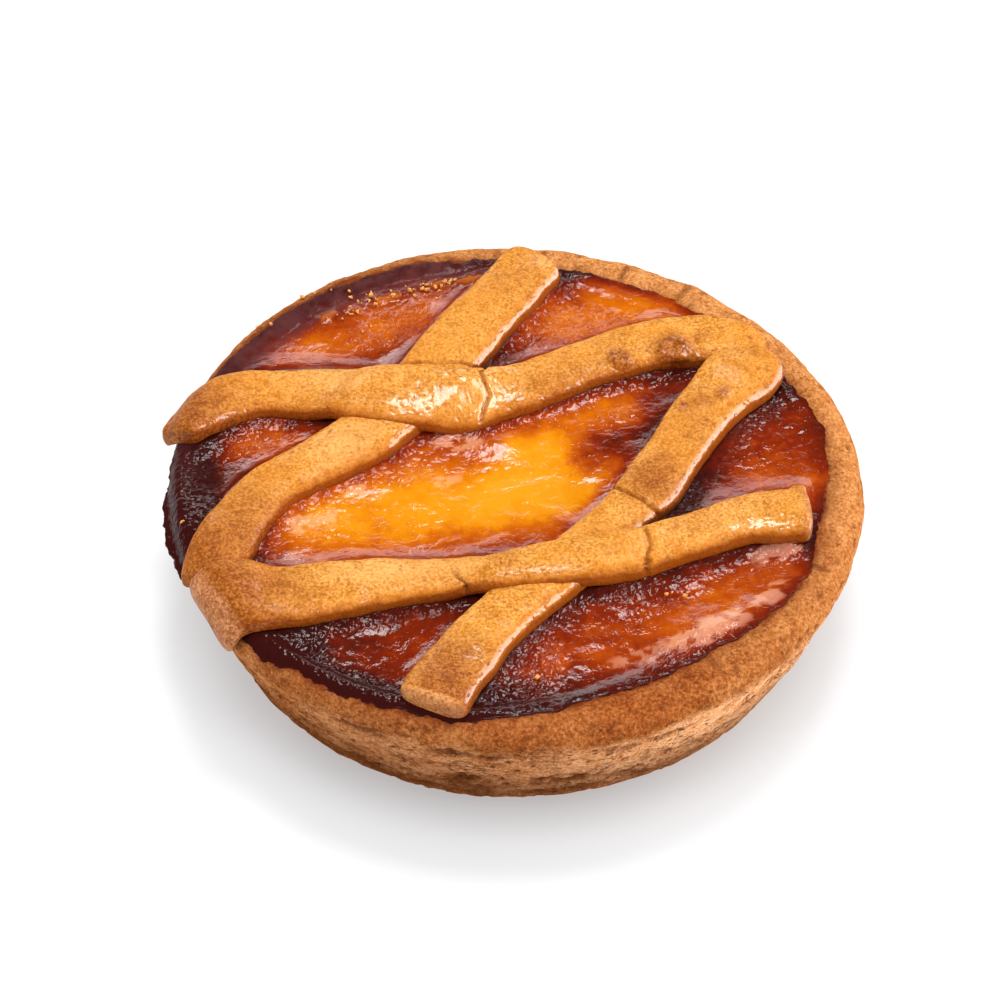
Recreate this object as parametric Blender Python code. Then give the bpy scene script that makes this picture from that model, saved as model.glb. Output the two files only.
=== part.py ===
"""Single-portion pastiera, an Italian ricotta and wheat tart.

Six pieces: the shortcrust case, the baked filling it holds, and four flat lattice strips laid one
after another across the top. The tart stands on the flat underside of its case, at z = 0, with the
case's axis on the Z axis. Metres, +Z up.
"""

import bmesh
import bpy
import numpy as np

MM = 0.001

# Shortcrust case
SHOULDER_R = 55.0 * MM  # widest radius, where the wall turns into the rim
SHOULDER_Z = 21.0 * MM
BASE_R = 46.9 * MM
BASE_EDGE = 1.5 * MM  # rounding where the wall meets the underside
RIM_Z = 25.0 * MM
RIM_TOP_R = 50.6 * MM  # where the rim's flat top starts to round over
WALL = 4.4 * MM
FLOOR = 3.6 * MM
OVAL = ((2, 0.0080, 51.5), (3, 0.0057, 62.6))  # lobes, share of the radius, degrees
LUMP = 0.35 * MM  # unevenness of the hand-pressed wall
LUMP_SIZE = 13.0 * MM

# Filling
EDGE_Z = 24.3 * MM
CELL_Z = 24.2 * MM  # the sunken middle of a cell between the strips
CLING = 1.6 * MM  # how far the filling rises to cling to a strip
CLING_REACH = 2.6 * MM
FLARE_Z = 21.8 * MM  # where the filling spreads from the case's wall to its own edge
SWELL = 0.35 * MM
SWELL_SIZE = 17.0 * MM
# Outer edge of the filling on the rim, as degrees and millimetres. It runs over the rim at the left.
FILLING_EDGE = (
    (-175, 54.3), (-150, 54.2), (-125, 53.0), (-98, 52.0), (-75, 48.8), (-50, 48.0), (-32, 49.8),
    (-10, 48.4), (10, 49.6), (35, 47.8), (70, 47.2), (95, 49.2), (120, 51.6), (150, 52.4),
)

# Lattice strips
THICK = 3.6 * MM
CROWN = 0.35 * MM  # how much higher the middle of a strip is than its edges
SINK = 0.5 * MM  # how far a strip has settled below the cell's level
RIM_BITE = 0.5 * MM  # and into the rim
DROOP = 0.11 / MM  # how fast it bends down past the rim's flat top
LIFT = 1.5 * MM  # rise of a strip where it is laid over an earlier one
LIFT_REACH = 5.5 * MM
END_ROUND = 2.6 * MM
EDGE_ROUND = 1.3 * MM
CORNER_POWER = 3.0
# Laying order. Each route is x, y and half width along the middle of the strip, in millimetres.
STRIPS = {
    "strip_back_left": (
        (4.4, 47.8, 5.6), (-2.0, 38.6, 6.0), (-8.3, 28.8, 6.2), (-14.8, 17.6, 6.1), (-22.6, 7.4, 5.7),
        (-31.6, 0.0, 5.0), (-38.7, -5.8, 4.8), (-42.3, -12.2, 4.8), (-44.6, -18.0, 5.2), (-46.6, -25.0, 5.4),
    ),
    "strip_far": (
        (-55.6, 8.6, 4.4), (-51.0, 11.2, 4.8), (-46.5, 13.9, 5.0), (-40.0, 15.9, 5.0), (-30.0, 15.7, 5.9),
        (-19.0, 14.0, 6.6), (-8.0, 13.6, 5.9), (0.0, 16.5, 5.0), (10.0, 21.9, 5.1), (20.0, 26.4, 5.3),
        (30.0, 28.4, 5.6), (37.0, 27.4, 5.3), (42.2, 24.8, 5.0),
    ),
    "strip_right": (
        (39.0, 22.2, 6.6), (35.6, 18.4, 6.0), (32.0, 13.8, 5.3), (28.4, 8.0, 5.2), (23.3, -1.6, 5.0),
        (20.4, -6.7, 4.8), (16.4, -12.0, 4.7), (7.0, -22.6, 4.9), (-2.6, -33.0, 5.0), (-8.5, -41.8, 5.5),
        (-12.2, -50.4, 5.6),
    ),
    "strip_near": (
        (-46.6, -31.0, 6.4), (-43.0, -29.8, 6.3), (-36.0, -28.5, 6.1), (-28.0, -26.8, 5.5), (-20.0, -25.5, 4.8),
        (-10.0, -24.6, 3.9), (0.0, -23.7, 4.0), (10.0, -22.2, 4.3), (20.0, -19.2, 3.9), (28.0, -15.4, 4.2),
        (36.0, -11.8, 4.7), (46.0, -11.0, 5.6),
    ),
}

GAP = 0.3 * MM  # clearance between neighbouring pieces
ABOVE = 5.0 * MM  # how far a cutter reaches above what it cuts

# Mesh density
CASE_TURN = 68
CASE_RINGS = 14
FILLING_TURN = 60
FILLING_RINGS = 10
STRIP_STEP = 3.2 * MM
SECTION = 12

CRUST_COLOUR = (0.60, 0.28, 0.09)
STRIP_COLOUR = (0.78, 0.42, 0.13)
FILLING_COLOUR = (0.45, 0.10, 0.02)


def waves(points, size, seed, count=14):
    """Smooth unevenness from -1 to 1: the mean of sine waves about `size` long that run in seeded
    random directions."""
    rng = np.random.default_rng(seed)
    ways = rng.normal(size=(count, 3))
    ways *= (2 * np.pi / size) * rng.uniform(0.7, 1.4, (count, 1)) / np.linalg.norm(ways, axis=1)[:, None]
    phases = rng.uniform(0, 2 * np.pi, count)
    return np.sin(points @ ways.T + phases).sum(axis=-1) / np.sqrt(count) / 1.5


def spline(points, at):
    """Catmull-Rom curve through the rows of `points`, read at parameters `at` from 0 to 1."""
    points = np.asarray(points, float)
    ends = [2 * points[0] - points[1]], [2 * points[-1] - points[-2]]
    padded = np.concatenate([ends[0], points, ends[1]])
    place = np.clip(at, 0, 1) * (len(points) - 1)
    index = np.minimum(place.astype(int), len(points) - 2)
    t = (place - index)[:, None]
    a, b, c, d = (padded[index + i] for i in range(4))
    return 0.5 * (2 * b + (c - a) * t + (2 * a - 5 * b + 4 * c - d) * t**2 + (3 * b - 3 * c + d - a) * t**3)


def edge_radius(angle):
    """Radius of the filling's edge at an angle in radians: a smooth closed curve through FILLING_EDGE."""
    degrees = np.array([pair[0] for pair in FILLING_EDGE], float)
    radii = np.array([pair[1] for pair in FILLING_EDGE]) * MM
    turn = np.concatenate([degrees - 360, degrees, degrees + 360])
    knots = np.concatenate([radii] * 3)
    fine = np.linspace(-270, 270, 1081)
    coarse = np.interp(fine, turn, knots)
    blur = np.hanning(31)
    smooth = np.convolve(coarse, blur / blur.sum(), mode="same")
    wrapped = (np.degrees(angle) + 180) % 360 - 180
    return np.interp(wrapped, fine, smooth)


def oval(angle):
    """Share by which the case's radius differs from a circle at an angle."""
    return sum(-share * np.cos(lobes * (angle - np.radians(turned))) for lobes, share, turned in OVAL)


def polar(radius, angle, height):
    """Points at broadcast radius, angle and height, as rows of x, y, z."""
    radius, angle, height = np.broadcast_arrays(radius, angle, height)
    return np.stack([radius * np.cos(angle), radius * np.sin(angle), height], axis=-1)


class Strip:
    """One lattice strip: its smoothed route, and how its surfaces follow what lies below it."""

    def __init__(self, route, earlier):
        route = np.array(route) * MM
        fine = spline(route, np.linspace(0, 1, 400))
        steps = np.linalg.norm(np.diff(fine[:, :2], axis=0), axis=1)
        along = np.concatenate([[0], np.cumsum(steps)])
        self.length = along[-1]
        self.route = route
        self.earlier = earlier
        self.line = np.stack([np.interp(np.linspace(0, self.length, 120), along, fine[:, i]) for i in range(3)], 1)
        self.along, self.fine = along, fine

    def at(self, distance):
        """Middle point, unit direction and half width at distances along the strip."""
        middle = np.stack([np.interp(distance, self.along, self.fine[:, i]) for i in range(3)], 1)
        ahead = np.stack([np.interp(distance + MM, self.along, self.fine[:, i]) for i in range(2)], 1)
        behind = np.stack([np.interp(distance - MM, self.along, self.fine[:, i]) for i in range(2)], 1)
        way = ahead - behind
        return middle[:, :2], way / np.linalg.norm(way, axis=1)[:, None], middle[:, 2]

    def outside(self, points):
        """Distance of plan points from the strip's edge, negative over the strip."""
        gaps = np.linalg.norm(points[..., None, :2] - self.line[:, :2], axis=-1) - self.line[:, 2]
        return gaps.min(axis=-1)

    def underside(self, points):
        """Height that the strip's underside takes at plan points: the bed, and the lift over earlier strips."""
        height = bed(points)
        for other in self.earlier:
            near = np.clip(1 - other.outside(points) / LIFT_REACH, 0, 1)
            height = height + LIFT * near * near * (3 - 2 * near)
        return height


def bed(points):
    """Height of the surface that the strips settle on: just below the cells' level, up onto the rim,
    and down round its shoulder."""
    radius = np.hypot(points[..., 0], points[..., 1])
    inside = CELL_Z - SINK
    rise = np.clip((radius - 43 * MM) / (6 * MM), 0, 1)
    onto_rim = (RIM_Z - RIM_BITE - inside) * rise * rise * (3 - 2 * rise)
    over = np.clip(radius - RIM_TOP_R, 0, None)
    return inside + onto_rim - DROOP * over**2


def loft(name, rings, colour, roughness, hidden=False):
    """A closed mesh object from rings of points: triangles between each two rings, and a fan at each end."""
    mesh = bpy.data.meshes.new(name)
    shape = bmesh.new()
    loops = [[shape.verts.new(point) for point in ring] for ring in rings]
    for low, high in zip(loops, loops[1:]):
        for i, corner in enumerate(low):
            j = (i + 1) % len(low)
            shape.faces.new((corner, low[j], high[j]))
            shape.faces.new((corner, high[j], high[i]))
    for end in (loops[0][::-1], loops[-1]):
        middle = shape.verts.new(sum((v.co for v in end[1:]), end[0].co.copy()) / len(end))
        for i, corner in enumerate(end):
            shape.faces.new((corner, end[(i + 1) % len(end)], middle))
    bmesh.ops.recalc_face_normals(shape, faces=shape.faces)
    if shape.calc_volume(signed=True) < 0:
        bmesh.ops.reverse_faces(shape, faces=shape.faces)
    shape.to_mesh(mesh)
    shape.free()
    mesh.shade_smooth()
    mesh.set_sharp_from_angle(angle=np.radians(50))
    solid = bpy.data.objects.new(name, mesh)
    bpy.context.scene.collection.objects.link(solid)
    if hidden:
        solid.hide_render = True
        solid.display_type = "WIRE"
    else:
        mesh.materials.append(finish(name, colour, roughness))
    return solid


def finish(name, colour, roughness):
    """A plain Principled material."""
    material = bpy.data.materials.new(name)
    material.use_nodes = True
    shader = material.node_tree.nodes["Principled BSDF"]
    shader.inputs["Base Color"].default_value = (*colour, 1)
    shader.inputs["Roughness"].default_value = roughness
    return material


def subtract(solid, cutter):
    """A Boolean difference that takes the cutter's shape out of the solid."""
    cut = solid.modifiers.new("less " + cutter.name, "BOOLEAN")
    cut.operation = "DIFFERENCE"
    cut.solver = "EXACT"
    cut.object = cutter


def wall_radius(height):
    """Radius of the case's outside at a height: a taper from the base that bulges a little."""
    share = np.clip(height / SHOULDER_Z, 0, 1)
    return BASE_R + (SHOULDER_R - BASE_R) * share**0.85


def case_blank():
    """The case before it is hollowed: underside, rounded base edge, tapered wall, shoulder and rim."""
    angle = np.linspace(0, 2 * np.pi, CASE_TURN, endpoint=False)
    quarter = np.radians(np.linspace(-80, 0, 4))
    profile = [(0.5 * BASE_R, 0.0), (BASE_R - BASE_EDGE, 0.0)]
    profile += [
        (BASE_R - BASE_EDGE + BASE_EDGE * np.cos(a), BASE_EDGE + BASE_EDGE * np.sin(a)) for a in quarter
    ]
    heights = np.linspace(BASE_EDGE, SHOULDER_Z, CASE_RINGS - 7)[1:]
    profile += [(wall_radius(z), z) for z in heights]
    for turned in np.radians([22, 45, 68, 90]):
        across = SHOULDER_R - RIM_TOP_R
        up = RIM_Z - SHOULDER_Z
        profile.append((RIM_TOP_R + across * np.cos(turned), SHOULDER_Z + up * np.sin(turned)))
    profile += [(46.0 * MM, RIM_Z - 0.5 * MM), (40.0 * MM, RIM_Z - 4 * MM), (20.0 * MM, RIM_Z - 4 * MM)]
    rings = []
    for radius, height in profile:
        flat = 0.0 if height <= 0 else 1.0
        points = polar(radius * (1 + oval(angle)), angle, height)
        lump = LUMP * flat * waves(points, LUMP_SIZE, seed=3)
        ring = polar(radius * (1 + oval(angle)) + lump, angle, height + 0.5 * lump * (height > SHOULDER_Z))
        rings.append(ring)
    return loft("case", rings, CRUST_COLOUR, 0.6)


def filling_top(points, strips):
    """Height of the filling's surface: the sunken cells, risen where it clings to strips and rim."""
    radius = np.hypot(points[..., 0], points[..., 1])
    angle = np.arctan2(points[..., 1], points[..., 0])
    away = np.min([strip.outside(points) for strip in strips], axis=0)
    height = CELL_Z + CLING * np.exp(-np.clip(away, 0, None) / CLING_REACH)
    from_edge = np.clip(edge_radius(angle) - radius, 0, None)
    height = height + (EDGE_Z - CELL_Z) * np.exp(-from_edge / (3 * MM))
    flat = points * np.array([1, 1, 0])
    return height + SWELL * waves(flat, SWELL_SIZE, seed=8)


def filling_body(name, strips, grow=0.0, hidden=False):
    """The filling from the case's floor to its surface. A grown copy cuts its own seat in the case."""
    angle = np.linspace(0, 2 * np.pi, FILLING_TURN, endpoint=False)
    edge = edge_radius(angle) + grow
    low = FLOOR - grow
    rings = [polar(s * (wall_radius(FLOOR) - WALL + grow), angle, low) for s in (0.5, 0.93)]
    for height in np.linspace(FLOOR + 2 * MM, FLARE_Z, 5):
        inner = np.minimum((wall_radius(height) - WALL) * (1 + oval(angle)), edge_radius(angle) - MM)
        rings.append(polar(inner + grow, angle, height - grow))
    rings.append(polar(edge - 0.7 * MM, angle, EDGE_Z - 1.3 * MM - grow))
    rings.append(polar(edge, angle, EDGE_Z - 0.6 * MM - grow))
    if grow:
        for share in (1.0, 0.5):
            rings.append(polar(edge * share, angle, EDGE_Z + ABOVE))
        return loft(name, rings, FILLING_COLOUR, 0.2, hidden)
    inwards = edge - 0.7 * MM
    for share in np.linspace(1, 0.06, FILLING_RINGS):
        flat = polar(inwards * share, angle, 0.0)
        rings.append(polar(inwards * share, angle, filling_top(flat, strips)))
    return loft(name, rings, FILLING_COLOUR, 0.2, hidden)


def strip_body(name, strip, grow=0.0, hidden=False):
    """A flat strip with rounded edges and ends, draped on what lies below. A grown copy, open
    upwards, cuts the seat that a strip has pressed into its neighbours."""
    ends = np.array([0.0, 0.12, 0.4, 0.8]) * END_ROUND
    inner = np.arange(END_ROUND * 1.3, strip.length - END_ROUND * 1.3, STRIP_STEP)
    distance = np.concatenate([ends, inner, strip.length - ends[::-1]])
    middle, way, half = strip.at(distance)
    side = np.stack([-way[:, 1], way[:, 0]], 1)
    from_end = np.minimum(distance, strip.length - distance)

    def rounding(reach):
        """1 along the strip, falling to nearly 0 at its ends over `reach`, on a superellipse."""
        share = np.clip(1 - from_end / reach, 0, 0.97)
        return (1 - share**CORNER_POWER) ** (1 / CORNER_POWER)

    width = half * rounding(END_ROUND)
    thick = THICK * rounding(EDGE_ROUND)
    past_end = way * (grow * np.where(distance < strip.length / 2, -1, 1) * (from_end < END_ROUND))[:, None]
    rings = []
    for i in range(len(distance)):
        turned = np.linspace(0, 2 * np.pi, SECTION, endpoint=False) + np.pi / SECTION
        power = 2 / CORNER_POWER
        across = np.sign(np.cos(turned)) * np.abs(np.cos(turned)) ** power
        up = np.sign(np.sin(turned)) * np.abs(np.sin(turned)) ** power
        flat = middle[i] + np.outer(across * width[i], side[i])
        under = strip.underside(flat)
        flat = flat + past_end[i] + np.outer(across * grow, side[i])
        centre = THICK / 2
        if grow:
            height = np.where(up > 0, centre + ABOVE, centre - (thick[i] / 2) * np.abs(up) - grow)
            height = np.where(up > 0, height, np.minimum(height, centre - 0.2 * MM))
        else:
            crown = CROWN * (1 - across**2) * (up > 0)
            height = centre + thick[i] / 2 * up + crown
        rings.append(np.stack([flat[:, 0], flat[:, 1], under + height], 1))
    return loft(name, rings, STRIP_COLOUR, 0.4, hidden)


def main():
    for old in list(bpy.data.objects):
        bpy.data.objects.remove(old)
    strips = {}
    for name, route in STRIPS.items():
        strips[name] = Strip(route, list(strips.values()))
    bodies = {name: strip_body(name, strip) for name, strip in strips.items()}
    seats = {name: strip_body("seat_" + name, strip, GAP, hidden=True) for name, strip in strips.items()}
    case = case_blank()
    filling = filling_body("filling", list(strips.values()))
    subtract(case, filling_body("seat_filling", list(strips.values()), GAP, hidden=True))
    for seat in seats.values():
        subtract(case, seat)
        subtract(filling, seat)
    names = list(strips)
    for order, name in enumerate(names):
        for later in names[order + 1 :]:
            if strips[name].outside(strips[later].line).min() < strips[later].line[:, 2].max() + 2 * MM:
                subtract(bodies[name], seats[later])


main()
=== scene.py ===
"""Looks of a single-portion pastiera: shortcrust case, baked filling, four lattice strips, crumbs.

Shapes are worked out in millimetres as whole arrays and put into meshes in metres. The frame is the
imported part's: the tart stands on z = 0 with its case's axis on Z.
"""

import bpy
import numpy as np
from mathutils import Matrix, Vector


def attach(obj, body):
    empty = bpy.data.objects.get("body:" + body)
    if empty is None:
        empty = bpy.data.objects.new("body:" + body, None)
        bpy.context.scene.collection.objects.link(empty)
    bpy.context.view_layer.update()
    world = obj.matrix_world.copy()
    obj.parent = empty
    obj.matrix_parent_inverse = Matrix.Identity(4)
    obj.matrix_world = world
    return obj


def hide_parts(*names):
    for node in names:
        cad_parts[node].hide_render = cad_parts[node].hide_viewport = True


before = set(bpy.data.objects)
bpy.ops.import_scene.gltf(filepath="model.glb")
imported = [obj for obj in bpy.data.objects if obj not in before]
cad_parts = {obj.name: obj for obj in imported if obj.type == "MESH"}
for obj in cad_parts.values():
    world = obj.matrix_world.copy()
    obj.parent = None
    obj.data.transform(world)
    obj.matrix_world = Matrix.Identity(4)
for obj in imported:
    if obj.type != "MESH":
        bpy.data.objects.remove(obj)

MM = 0.001

# ---------------------------------------------------------------- sizes, in millimetres

# Case: radius and height of its shoulder, radius of its base and of the base's rounded edge, power by
# which the wall curves, height and outer radius of the rim's flat top, and height of the inner floor
SHOULDER_R = 55.0
SHOULDER_Z = 21.0
BASE_R = 46.9
BASE_EDGE = 1.5
WALL_BEND = 0.85
RIM_Z = 25.0
RIM_TOP_R = 50.6
FLOOR = 3.6
CASE_COLUMNS = 720
# Inner wall, as radius and height, and how far inside it the case's own mesh stays
INNER_WALL = ((49.8, 21.5), (49, 18), (46, 10), (43, FLOOR), (5, FLOOR))
INNER_GAP = 0.4
# How far the case's lip reaches in under the filling's edge, and the rings of its mesh up to there
LIP = 1.2
TOP_RINGS = 25
OVAL = ((2, 0.008, 51.5), (3, 0.0057, 62.6))  # lobes, share of the radius, degrees
# Lumps of the whole case: height, size and seed
LUMP = 0.2
LUMP_SIZE = 13.0
LUMP_SEED = 3
# Depths of the wall's torn layers and of the small pits, and height of the grain on the wall
LAYER_DEPTH = 1.35
PIT_DEPTH = 0.6
WALL_GRAIN = 0.16
# Heights of the rim's fine grain and of its unevenness, and depth of its pits
RIM_GRAIN = 0.12
RIM_UNEVEN = 0.12
RIM_PIT_DEPTH = 0.15
# Both reliefs start this much inside the plain form
INSET = 0.16

# Filling: height at its edge and in its cells
EDGE_Z = 24.3
CELL_Z = 24.2
# How the filling clings to a strip, on its far and its front side: rise and reach
CLING_FAR = (1.6, 2.6)
CLING_FRONT = (0.7, 1.2)
# Swells of the filling: height and size
SWELL = 0.22
SWELL_SIZE = 17.0
# Outer edge of the filling, as degrees and radius
FILLING_EDGE = (
    (-178, 55.2), (-170, 55.9), (-161, 54.9), (-150, 53.9), (-125, 53), (-98, 52), (-75, 48.8), (-50, 48),
    (-32, 49.8), (-10, 48.4), (10, 49.6), (35, 47.8), (70, 47.2), (95, 49.2), (120, 51.6), (150, 52.4),
)
# The farthest that the filling's ragged edge may reach
FARTHEST = 56.2
# Where the filling's edge lies over the shoulder it hangs as a drip: from and to, radius and fall
DRIP_FROM = (54.7, 55.5)
DRIP_R = 54.3
DRIP_FALL = 2.6
# The filling's hidden sides, as radius and height
FILLING_RINGS = ((49.6, 20.4), (46.2, 12), (42.8, FLOOR))
FILLING_GRID = 300
# Bubbles where it boiled: size, height, and height where they hang on the rim
BUBBLE_SIZE = 0.85
BUBBLE_HEIGHT = 0.27
RIM_BUBBLES = 0.24
# Wrinkles of the skin: direction in degrees, height, and how much lower they are among bubbles
WRINKLE_TURN = 18
WRINKLE_HEIGHT = 0.09
WRINKLE_LESS = 0.05
# Larger bumps between the strips: height and size
BUMP_HEIGHT = 0.20
BUMP_SIZE = 6.5
# Thickness of the caramel's skin on the rim, and height of the grain in its satin band
SKIN = 0.18
SATIN_GRAIN = 0.16
# Ridge of foam: height and how uneven it is
RIDGE_HEIGHT = 0.45
RIDGE_UNEVEN = 0.25

# Strips: thickness, highest point of all, crown in the middle, how far they sink into the filling and
# bite into the rim, and how they droop past the rim's flat top
THICK = 3.6
TOP_Z = 29.74
CROWN = 0.35
SINK = 0.5
RIM_BITE = 0.5
DROOP = 0.11
# Share of the cling for strips where it differs
CLING_SHARE = {"strip_right": 0.4}
# Lift of a strip over an earlier one, and how far from that one it begins
LIFT = 1.5
LIFT_REACH = 5.5
# Rounding of a strip's upper and lower edges at its ends, and the spacing of its sections
EDGE_ROUND = 1.3
SPACING = 0.24
# Relief of the strips: unevenness, fine grain, and how far inside the plain form both start
STRIP_UNEVEN = 0.10
STRIP_GRAIN = 0.075
STRIP_INSET = 0.12
# Depths of cracks, pores and fine pores, of the groove round a blister, and height of crinkled glaze
CRACK_DEPTH = 0.75
PORE_DEPTH = 0.10
FINE_PORE_DEPTH = 0.06
GROOVE_DEPTH = 0.18
CRINKLE = 0.10
# How far a strip's sides waver, and over what length
WAVER = 0.35
WAVER_LENGTH = 9
# Power of the strips' superellipse section, and the side of a strip that catches the glaze
SECTION = 2 / 3.8
TO_LIGHT = (0.3, -0.95)
# Laying order. Each route is x, y and half width along the middle of the strip.
STRIPS = {
    "strip_back_left": (
        (4.4, 47.8, 5.6), (-2, 38.6, 6), (-8.3, 28.8, 6.2), (-14.8, 17.6, 6.1), (-22.6, 7.4, 5.7),
        (-31.6, 0, 5), (-38.7, -5.8, 4.8), (-42.3, -12.2, 4.8), (-44.6, -18, 5.2), (-46.6, -25, 5.4),
    ),
    "strip_far": (
        (-53.9, 6.6, 4.1), (-50.8, 10.6, 5), (-46.5, 13.9, 5), (-40, 15.9, 5), (-30, 15.7, 5.9),
        (-19, 14, 6.6), (-8, 13.6, 5.9), (0, 16.5, 5), (10, 21.9, 5.1), (20, 26.4, 5.3), (29, 28.4, 5.6),
        (35.4, 27.3, 5.1), (40.4, 24.3, 4),
    ),
    "strip_right": (
        (41, 24.6, 4.8), (38.8, 21.9, 6.2), (35.6, 18.4, 6.1), (32, 13.8, 5.3), (28.4, 8, 5.2),
        (23.3, -1.6, 5), (20.4, -6.7, 4.8), (16.4, -12, 4.7), (7, -22.6, 4.9), (-2.6, -33, 5),
        (-8.5, -41.8, 5.5), (-12.2, -50.4, 5.6),
    ),
    "strip_near": (
        (-46.6, -31.2, 6.9), (-42.8, -29.2, 6.5), (-36, -28.5, 6.1), (-28, -26.8, 5.5), (-20, -25.5, 4.8),
        (-10, -24.6, 3.9), (0, -23.7, 4), (10, -22.2, 4.3), (20, -19.2, 3.9), (28, -15.4, 4.2),
        (36, -11.8, 4.7), (46, -11, 5.6),
    ),
}

# Marks in the dough, in plan: polylines of x, y
CRACKS = {
    "strip_far": (
        ((-4.4, 21), (-5.3, 17.6), (-4.2, 13.8), (-5, 9)),
        ((-27, 8.3), (-22.6, 7.4), (-16, 7.2)),
    ),
    "strip_back_left": (((-20.5, 22.6), (-14.4, 21.6), (-6, 21.4)),),
    "strip_right": (((14.8, -5.2), (17.6, -7.6), (20.6, -10.4), (23.8, -12.8)),),
    "strip_near": (
        ((20.2, -16.4), (20.8, -20.4), (19.2, -26)),
        ((-9.4, -24.6), (-7.9, -27), (-7, -29.6)),
    ),
}
# Blisters in the dough: x, y, radius, height
BLISTERS = {
    "strip_far": ((26.2, 24.9, 3.3, 0.9), (17.2, 22.4, 2, 0.6), (22.9, 20.8, 1.2, 0.5), (30.6, 27.8, 1.5, 0.3)),
    "strip_right": ((26.9, 11.4, 1.2, 0.45), (30.2, 12.6, 1.3, 0.4), (33.6, 14.6, 1.6, 0.35)),
    "strip_near": ((44.2, -6.6, 1.2, 0.6),),
}

# Baked tone of the dough: x, y, radius along, radius across, turn, browner (+) or paler (-)
DOUGH_TONES = {
    "strip_far": (
        (-51, 10, 10, 7, 10, 0.85), (-29, 17.5, 9, 4, 0, -0.4), (8, 17.5, 10, 3.5, 25, 0.35),
        (25.5, 25, 3.4, 2.6, 10, 0.8), (17.2, 22.2, 2.2, 1.6, 10, 0.7), (-30, 12, 14, 3, 0, 0.3),
    ),
    "strip_back_left": (
        (-45, -19, 14, 6.5, 65, 0.95), (-26.5, 3.5, 8, 4, 40, -0.65), (1, 42, 5, 5, 0, 0.25),
    ),
    "strip_right": (
        (38.5, 20, 5, 6, 50, 0.15), (27, 6, 8, 5, 60, 0.3), (22, -4.5, 6, 5, 60, 0.95),
        (-9.8, -45.5, 7.5, 6.5, 75, 1), (12, -17, 5, 4.5, 50, 0.15), (28.5, 9, 1.6, 1.2, 60, 0.5),
        (32.5, 13.5, 2.4, 1.2, 60, 0.4),
    ),
    "strip_near": (
        (-43.5, -29.5, 12, 8.5, 0, 1), (-17, -24, 12, 3, 5, -0.75), (-32, -29, 8, 4, 10, 0.35),
        (33, -13, 10, 4, 18, -0.2), (-1.5, -24.5, 6, 4, 0, 0.28),
    ),
}
# Rounding reach at a strip's two ends, and how much it is pressed thin there
ENDS = {
    "strip_back_left": (2.6, 2.6, 0, 0),
    "strip_far": (2, 5.5, 0, 0.1),
    "strip_right": (4, 2.2, 0.5, 0),
    "strip_near": (1.1, 2.4, 0, 0),
}
PRESS_REACH = 11.0
# Strips whose first end hangs over the rim and stays paler there
CUT_ENDS = ("strip_near",)
# Strips with a pale face at their last end
PALE_LAST = ("strip_right", "strip_near")
# Where a strip leans down towards the front: x, y, radius along, radius across, turn, slope
LEANS = {
    "strip_far": ((-9, 13, 14, 10, 0, 0.15),),
    "strip_near": ((14, -21.5, 8, 7, 12, 0.07),),
}

# Where the glaze along the edge begins, as y
GLAZED_ABOVE = {"strip_back_left": 16.0}
# Thick glaze on the dough: x, y, radius along, radius across, turn in degrees, share
GLAZE = {
    "strip_far": ((-9, 11.2, 12.5, 6.4, -6, 0.85), (-1.8, 18, 3.5, 3, 30, 0.7)),
    "strip_back_left": ((-15, 6.5, 6, 3, 50, 0.9),),
    "strip_right": ((-6.5, -42, 3, 5, 60, 0.5),),
    "strip_near": ((6, -26, 9, 1.4, 5, 0.4), (39, -14.5, 7, 1.8, 8, 0.9)),
}

# Tones of the filling: x, y, radius along, radius across, turn in degrees, paler (-) or darker (+)
PALE = (
    (0, -5, 18, 8, 14, 0.98), (3.5, 2, 10, 6, 38, 0.84), (-15, -8.5, 14, 9, 14, 0.76),
    (-27, -11, 14, 8.5, 22, 0.66), (15, 12.5, 11, 5, 38, 0.42), (-34, 29, 10, 5.5, 12, 0.52),
    (-21, 35, 13, 7, 22, 0.38), (6, 35, 15, 7, -8, 0.5), (20, 38, 13, 5, -22, 0.52),
    (-20, -35.5, 6, 4, -12, 0.1), (13, -38.5, 18, 6, 28, 0.16), (31, -28.5, 16, 6, 32, 0.34),
    (39, -1.5, 12, 5, 8, 0.2), (47, -4, 4, 6, 0, 0.32), (-42, 6.5, 10, 5, 12, 0.42),
)
DARK = (
    (20.5, 8, 12, 3, 62, 0.32), (15.5, -4, 7, 3, 60, 0.34), (14.5, 5, 8, 4, 60, 0.34),
    (22.5, 15.5, 4.5, 3, 45, 0.34), (26.5, -7, 10, 3, 50, 0.3), (-52, -8, 5, 9, 0, 0.5),
    (-35, -36.5, 8, 5, -25, 0.45), (-26, -44, 14, 2.6, -22, 0.35), (3, -46, 14, 3, 12, 0.22),
    (-22, -36.5, 6, 4, 0, 0.15),
)
# Where it boiled up into small bubbles away from the strips
BUBBLY = (
    (-20, 33, 8, 4.5, 20, 0.8), (-42, 6, 9, 4, 10, 0.7), (34.5, 6, 9, 5, 60, 0.5),
    (-35, -38, 10, 4, -25, 0.9), (2, -42.5, 9, 4.5, 50, 0.9), (11, 32.5, 14, 6, -8, 0.85),
    (-31, -10, 7, 5.5, 30, 0.75), (-19, -0.5, 12, 4.5, 18, 0.6), (17, 12, 7, 4, 40, 0.4),
    (-50, -6, 5, 10, 0, 0.8), (24, -27, 9, 2.5, 25, 0.5), (-38, -37, 12, 5, -42, 0.9),
    (-20, -47, 13, 4, -20, 0.8), (-3, -50, 9, 3, 0, 0.7), (-10, 6.4, 8, 2.8, 4, 0.8),
    (27, -37, 10, 2, 34, 0.7), (41, -18, 6, 3, 20, 0.8),
)
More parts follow.
